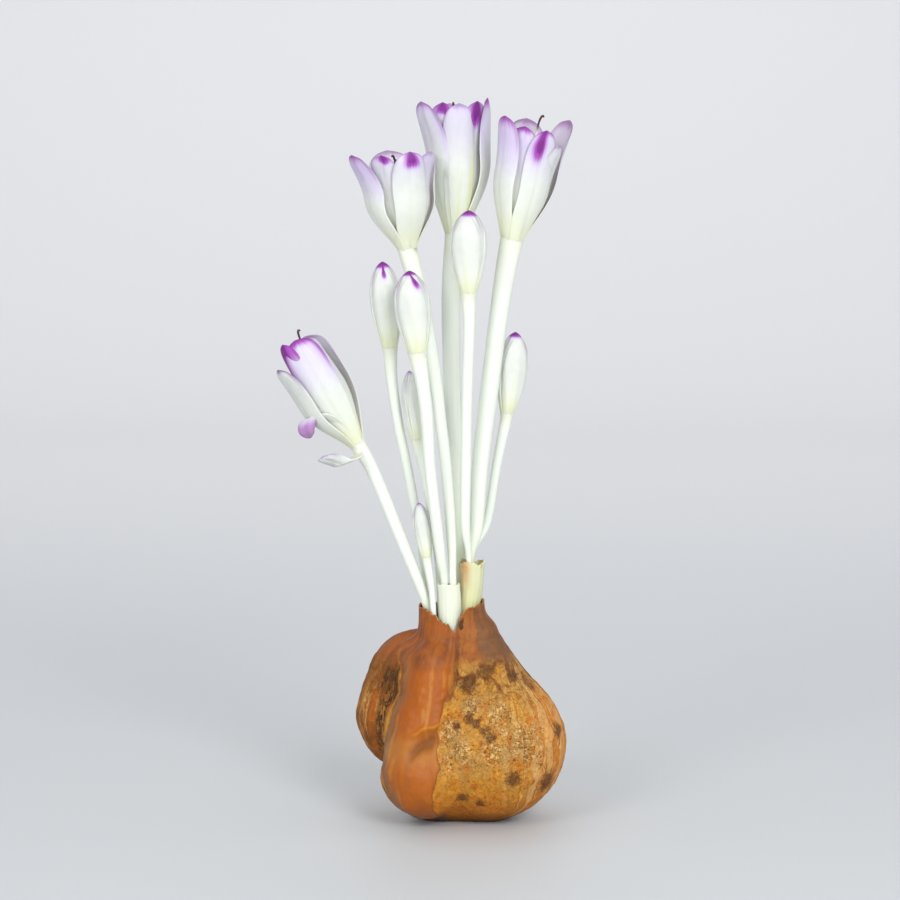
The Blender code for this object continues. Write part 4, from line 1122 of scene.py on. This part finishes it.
def make_threads(name, flower, material):
    """Six stamens and three styles on one short column, which stands on the end of the flower's tube."""
    axis = Axis(flower["stations"], flower["crown"])
    column = flower["stations"][-1][3] * COLUMN_SHARE
    floor = COLUMN_FOOT / axis.length
    column_top = floor + COLUMN_HEIGHT / axis.length
    start = (floor + column_top) / 2

    def row(share, outwards, azimuth, radius):
        return (*axis.place(np.array(share), outwards, 0.0, azimuth), radius)

    column_rows = [row(floor, 0, 0, column), row(column_top, 0, 0, column * 0.8)]
    parts = [make_tube(name + "_column", column_rows, 12, filament=1.0)]
    for number in range(6):
        azimuth = 2 * math.pi * (number + 0.5) / 6
        length = STAMEN_LENGTHS[number % 2]
        stalk = [row(start, column / 2, azimuth, 0.32)]
        stalk += [row(length * share, column + out, azimuth, size) for share, out, size in FILAMENT]
        anther = [row(length * share, column + out, azimuth, size) for share, out, size in ANTHER]
        parts.append(make_tube(f"{name}_filament_{number}", smooth_route(stalk, 5), 8, filament=1.0))
        parts.append(make_tube(f"{name}_anther_{number}", smooth_route(anther, 4), 12, anther=1.0))
    turn, tallest = flower["style"]
    for number in range(3):
        azimuth = math.radians(turn + 120 * number)
        top = tallest if number == 0 else SHORT_STYLE
        style = [
            row(max(start, top * share), radii * column + out, azimuth, size)
            for share, radii, out, size in STYLE
        ]
        parts.append(make_tube(f"{name}_style_{number}", smooth_route(style, 6), 8, style=1.0))
    set_in_frame(join("threads_" + name, parts), "stamens_" + name, material)


def thread_material(settings):
    shader = Shader("Stamens and styles", 0.55, subsurface=0.2, reach=0.5)
    filament, anther, style, rise = map(shader.field, ("filament", "anther", "style", "rise"))
    grains = shader.noise(shader.place(), 0.18, 3.0, 0.7)
    colour = shader.coats(
        settings.filament,
        (grains * 0.4, settings.white),
        (anther, shader.mix(grains.step(0.35, 0.65), settings.anther, settings.pollen)),
        (style * rise.step(0.86, 0.93), settings.style_tip),
    )
    return shader.finish(colour, grains, 0.08, 0.5 + 0.2 * anther)


# Sheaths.


def sheath_sleeve(name, stations, ragged, stained):
    """A ribbed sleeve through the stations, with a torn rim and a stain down its left front."""
    rows = smooth_route(stations, 5)

    def place(u, v):
        angle = math.pi / 2 + 2 * math.pi * u
        tear = ragged * (np.sin(3 * angle + 1.0) + 0.5 * np.sin(8 * angle) + 0.25 * np.sin(21 * angle))
        level = v * (len(rows) - 1)
        x, y, z, wide, deep = (np.interp(level, np.arange(len(rows)), column) for column in rows.T)
        z = z + tear * smooth(v, 0.55, 1.0)
        rib = 1 + 0.012 * np.sin(14 * angle + 2 * np.sin(3 * v))
        flare = 1 + 0.03 * smooth(v, 0.85, 1.0) * np.sin(2 * angle + 0.5)
        x = x + wide * rib * flare * np.cos(angle)
        y = y + deep * rib * flare * np.sin(angle)
        side = hump(angle, math.radians(235), math.radians(34)) * smooth(v, 0.6, 0.9)
        return np.stack([x, y, z], axis=1), {"rise": v, "stained": stained * side}

    obj = bent_grid(name, 64, 40, place)
    close_seams(obj)
    make_wall(obj, SHEATH_WALL)
    return obj


def sheath_material(name, low, high, stain, settings):
    shader = Shader(name, 0.4, specular=0.2, subsurface=0.3, reach=0.5)
    rise = shader.field("rise")
    ribs = shader.noise(shader.scaled(shader.surface_map(), (46.0, 1.2, 0.0)), 1.0, 3.0, 0.5)
    blotch = shader.noise(shader.place(), 3.0, 3.0)
    stained = shader.field("stained") * (0.35 + blotch) + rise.step(0.93, 1.0) * blotch.step(0.45, 0.65)
    colour = shader.coats(
        low, (rise.step(0.4, 0.95), high), (ribs.step(0.5, 0.75) * 0.35, settings.green), (stained, stain)
    )
    return shader.finish(colour, ribs + 0.3 * blotch, 0.12)


# Settings that a user would change.


def colour_of(name, about, red, green, blue):
    return FloatVectorProperty(name=name, description=about, subtype="COLOR", default=rgb(red, green, blue))


def amount_of(name, about, default, **limits):
    return FloatProperty(name=name, description=about, default=default, **limits)


class CormSettings(bpy.types.PropertyGroup):
    rust: colour_of("Rust", "Smooth skin of the front band", 162, 88, 24)
    # Orange paints the highlight across the band's middle.
    orange: colour_of("Orange", "Lighter parts of the front band", 160, 82, 14)
    neck: colour_of("Neck", "Red-brown skin near the neck", 144, 78, 36)
    ochre: colour_of("Ochre", "Ground of the worn lobe", 202, 140, 48)
    tan: colour_of("Tan", "Lighter ground of the worn lobe", 190, 140, 68)
    amber: colour_of("Amber", "Orange parts of the worn lobe", 196, 110, 26)
    sun: colour_of("Bright side", "Orange skin of the right side", 212, 132, 48)
    # Gold is also the painted highlight on the crease's ridge.
    gold: colour_of("Gold", "Golden skin near the base", 208, 144, 28)
    brown: colour_of("Brown", "Blotches and shades", 122, 70, 22)
    # Grey is painted shade along the band's left edge, and the neck's grey skin with its painted sheen.
    grey: colour_of("Grey", "Dull edge of the front band", 112, 82, 58)
    umber: colour_of("Umber", "Dark spots and cracks", 90, 54, 30)
    # Bark is also painted shade: in the pit, under the collar's notch, and where the corm curves under onto the
    # floor.
    bark: colour_of("Bark", "Torn gap and underside", 64, 42, 20)
    cream: colour_of("Cream", "Scales and pale lines", 226, 182, 116)
    relief: amount_of("Relief", "Depth of the skin's relief in millimetres", 0.28, min=0.0)
    columns: IntProperty(name="Columns", description="Points round the corm", default=300, min=48)
    rows: IntProperty(name="Rows", description="Points from base to pit", default=240, min=48)


class FlowerSettings(bpy.types.PropertyGroup):
    white: colour_of("White", "Ground of the tepals", 212, 216, 209)
    # Foot: partly the tepals' pale base, partly painted light on their down-facing funnel.
    foot: colour_of("Foot", "Tepals near the throat", 230, 234, 223)
    shade: colour_of("Shade", "Second white of the tepals", 202, 206, 199)
    lilac: colour_of("Lilac", "Tint below the tips", 203, 191, 226)
    purple: colour_of("Purple", "Colour of the tips", 158, 72, 172)
    deep: colour_of("Deep purple", "Darkest tips", 98, 34, 104)
    # Inside: partly the inner side's tint, partly painted shade.
    inner: colour_of("Inside", "Inner side of the tepals", 204, 190, 206)
    green: colour_of("Green", "Foot and veins of the tepals", 208, 212, 124)
    tube: colour_of("Tube", "Tubes near the flowers", 226, 231, 223)
    tube_foot: colour_of("Tube foot", "Tubes near the neck", 229, 237, 216)
    filament: colour_of("Filament", "Stalks of the stamens", 236, 234, 206)
    anther: colour_of("Anther", "Anthers", 214, 150, 40)
    pollen: colour_of("Pollen", "Pollen on the anthers", 238, 196, 84)
    style_tip: colour_of("Style tip", "Tips of the styles", 70, 36, 52)
    thickness: amount_of("Tepal", "Thickness of a tepal", 0.4 * MM, unit="LENGTH")
    relief: amount_of("Relief", "Depth of the veins in millimetres", 0.10, min=0.0)


class StageSettings(bpy.types.PropertyGroup):
    # Floor and wall are one bent sheet; the step between their colours is painted light.
    floor: colour_of("Floor", "Colour of the floor", 196, 199, 201)
    wall: colour_of("Wall", "Colour of the backdrop", 222, 223, 225)
    left: amount_of("Left light", "Power of the left front light in watts", 5.8, min=0.0)
    right: amount_of("Right light", "Power of the right front light in watts", 10.6, min=0.0)
    front: amount_of("Front light", "Power of the low front light in watts", 1.9, min=0.0)
    backdrop: amount_of("Backdrop light", "Power of the light on the backdrop in watts", 4.4, min=0.0)
    sky: amount_of("Fill", "Strength of the even light from all sides", 0.68, min=0.0)
    distance: amount_of("Camera distance", "From the plant's middle", 0.9, unit="LENGTH")
    elevation: amount_of("Camera height", "Angle above level", math.radians(7), unit="ROTATION")
    lens: amount_of("Lens", "Focal length in millimetres", 120.0, min=10.0)


# Operators.


class COLCHICUM_OT_corm(bpy.types.Operator):
    """Model the lobed corm in its torn papery tunic"""

    bl_idname = "colchicum.corm"
    bl_label = "Corm"

    def execute(self, context):
        settings = context.scene.colchicum_corm
        obj = bent_grid("corm_in_tunic", settings.columns, settings.rows, corm_surface)
        close_seams(obj)
        mesh = obj.data
        points = read_rows(mesh.vertices, "co") / MM
        fields, lift = corm_fields(points, read_rows(mesh.attributes["inside"].data, "value", 1)[:, 0])
        points = points + read_rows(mesh.vertex_normals, "vector") * lift[:, None]
        mesh.vertices.foreach_set("co", (points * MM).ravel())
        for name, values in fields.items():
            set_field(mesh, name, values)
        mesh.update()
        set_in_frame(obj, "corm", corm_material(settings))
        return {"FINISHED"}


class COLCHICUM_OT_sheaths(bpy.types.Operator):
    """Model the two pale sheaths in the neck"""

    bl_idname = "colchicum.sheaths"
    bl_label = "Sheaths"

    def execute(self, context):
        for name, (low, high, stain, ragged, stained) in SHEATH_LOOKS.items():
            obj = sheath_sleeve("sheath_skin_" + name, SHEATHS[name], ragged, stained)
            material = sheath_material("Sheath " + name, low, high, stain, context.scene.colchicum_flowers)
            set_in_frame(obj, "sheath_" + name, material)
        return {"FINISHED"}


class COLCHICUM_OT_open_flowers(bpy.types.Operator):
    """Model the four open flowers with their tubes"""

    bl_idname = "colchicum.open_flowers"
    bl_label = "Open flowers"

    def execute(self, context):
        settings = context.scene.colchicum_flowers
        material = flower_material(settings)
        for name, flower in OPEN_FLOWERS.items():
            make_flower(name, flower, settings, material)
        return {"FINISHED"}


class COLCHICUM_OT_buds(bpy.types.Operator):
    """Model the six closed buds with their tubes"""

    bl_idname = "colchicum.buds"
    bl_label = "Buds"

    def execute(self, context):
        settings = context.scene.colchicum_flowers
        material = bpy.data.materials.get("Tepals and tubes") or flower_material(settings)
        for name, bud in BUDS.items():
            make_bud(name, bud, settings, material)
        return {"FINISHED"}


class COLCHICUM_OT_threads(bpy.types.Operator):
    """Model the stamens and styles in the open flowers"""

    bl_idname = "colchicum.threads"
    bl_label = "Stamens and styles"

    def execute(self, context):
        material = thread_material(context.scene.colchicum_flowers)
        for name, flower in OPEN_FLOWERS.items():
            make_threads(name, flower, material)
        return {"FINISHED"}


class COLCHICUM_OT_stage(bpy.types.Operator):
    """Set the pale floor, the soft lights and the camera"""

    bl_idname = "colchicum.stage"
    bl_label = "Stage"

    def execute(self, context):
        settings = context.scene.colchicum_stage
        self.floor(settings)
        for name, (place, aimed_at, size) in LIGHTS.items():
            self.light(name.capitalize() + "_light", place, aimed_at, size, getattr(settings, name))
        self.sky(context, settings)
        self.camera(context, settings)
        return {"FINISHED"}

    def floor(self, settings):
        """A flat floor that bends up into a steep backdrop, in metres."""

        def place(u, v):
            reach = v * FLOOR_REACH
            turned = np.clip((reach - FLAT_REACH) / BEND_REACH, 0.0, 1.0) * math.pi / 2
            flat = reach < FLAT_REACH
            y = np.where(flat, reach, FLAT_REACH + BEND_RADIUS * np.sin(turned)) + FLOOR_FRONT
            z = np.where(flat, 0.0, BEND_RADIUS * (1 - np.cos(turned)))
            z = z + np.maximum(0.0, reach - FLAT_REACH - BEND_REACH) * WALL_STRETCH
            return np.stack([(u - 0.5) * FLOOR_WIDTH, y, z], axis=1) / MM, {}

        obj = bent_grid("table_top", 4, 90, place)
        shader = Shader("Table top", roughness=0.55)
        depth = shader.axes(shader.place())[1]
        # Painted light: the sheet is darker on the floor and lighter up the wall.
        colour = shader.mix(depth.step(40.0, 950.0), settings.floor, settings.wall)
        obj.data.materials.append(shader.finish(colour))
        bpy.ops.object.shade_smooth()

    def light(self, name, place, aimed_at, size, power):
        bpy.ops.object.light_add(type="AREA", location=place)
        light = bpy.context.object
        light.name = name
        light.data.shape = "DISK"
        light.data.size = size
        light.data.energy = power
        light.visible_camera = False
        light.rotation_euler = (Vector(aimed_at) - Vector(place)).to_track_quat("-Z", "Y").to_euler()

    def sky(self, context, settings):
        world = bpy.data.worlds.new("Even light")
        world.use_nodes = True
        background = world.node_tree.nodes["Background"]
        background.inputs["Color"].default_value = (*SKY_COLOUR, 1.0)
        background.inputs["Strength"].default_value = settings.sky
        context.scene.world = world

    def camera(self, context, settings):
        away = Vector((0.0, -math.cos(settings.elevation), math.sin(settings.elevation)))
        bpy.ops.object.camera_add(location=Vector(CAMERA_TARGET) * MM + away * settings.distance)
        camera = bpy.context.object
        camera.rotation_euler = (math.pi / 2 - settings.elevation, 0.0, 0.0)
        camera.data.lens = settings.lens
        camera.data.sensor_width = SENSOR_WIDTH
        context.scene.camera = camera
        context.scene.view_settings.view_transform = "Standard"


class COLCHICUM_PT_panel(bpy.types.Panel):
    bl_label = "Colchicum"
    bl_idname = "COLCHICUM_PT_panel"
    bl_space_type = "VIEW_3D"
    bl_region_type = "UI"
    bl_category = "Colchicum"

    def draw(self, context):
        for group in SETTINGS:
            settings = getattr(context.scene, group)
            box = self.layout.box()
            for name in settings.__annotations__:
                box.prop(settings, name)
        for operator in OPERATORS:
            self.layout.operator(operator.bl_idname)


SETTINGS = {
    "colchicum_corm": CormSettings,
    "colchicum_flowers": FlowerSettings,
    "colchicum_stage": StageSettings,
}
OPERATORS = (
    COLCHICUM_OT_corm,
    COLCHICUM_OT_sheaths,
    COLCHICUM_OT_open_flowers,
    COLCHICUM_OT_buds,
    COLCHICUM_OT_threads,
    COLCHICUM_OT_stage,
)
CLASSES = (*SETTINGS.values(), *OPERATORS, COLCHICUM_PT_panel)


def register():
    for cls in CLASSES:
        bpy.utils.register_class(cls)
    for group, cls in SETTINGS.items():
        setattr(bpy.types.Scene, group, PointerProperty(type=cls))


def unregister():
    for group in SETTINGS:
        delattr(bpy.types.Scene, group)
    for cls in reversed(CLASSES):
        bpy.utils.unregister_class(cls)


def main():
    register()
    bpy.ops.colchicum.corm()
    bpy.ops.colchicum.sheaths()
    bpy.ops.colchicum.open_flowers()
    bpy.ops.colchicum.buds()
    bpy.ops.colchicum.threads()
    bpy.ops.colchicum.stage()


if __name__ == "__main__":
    main()
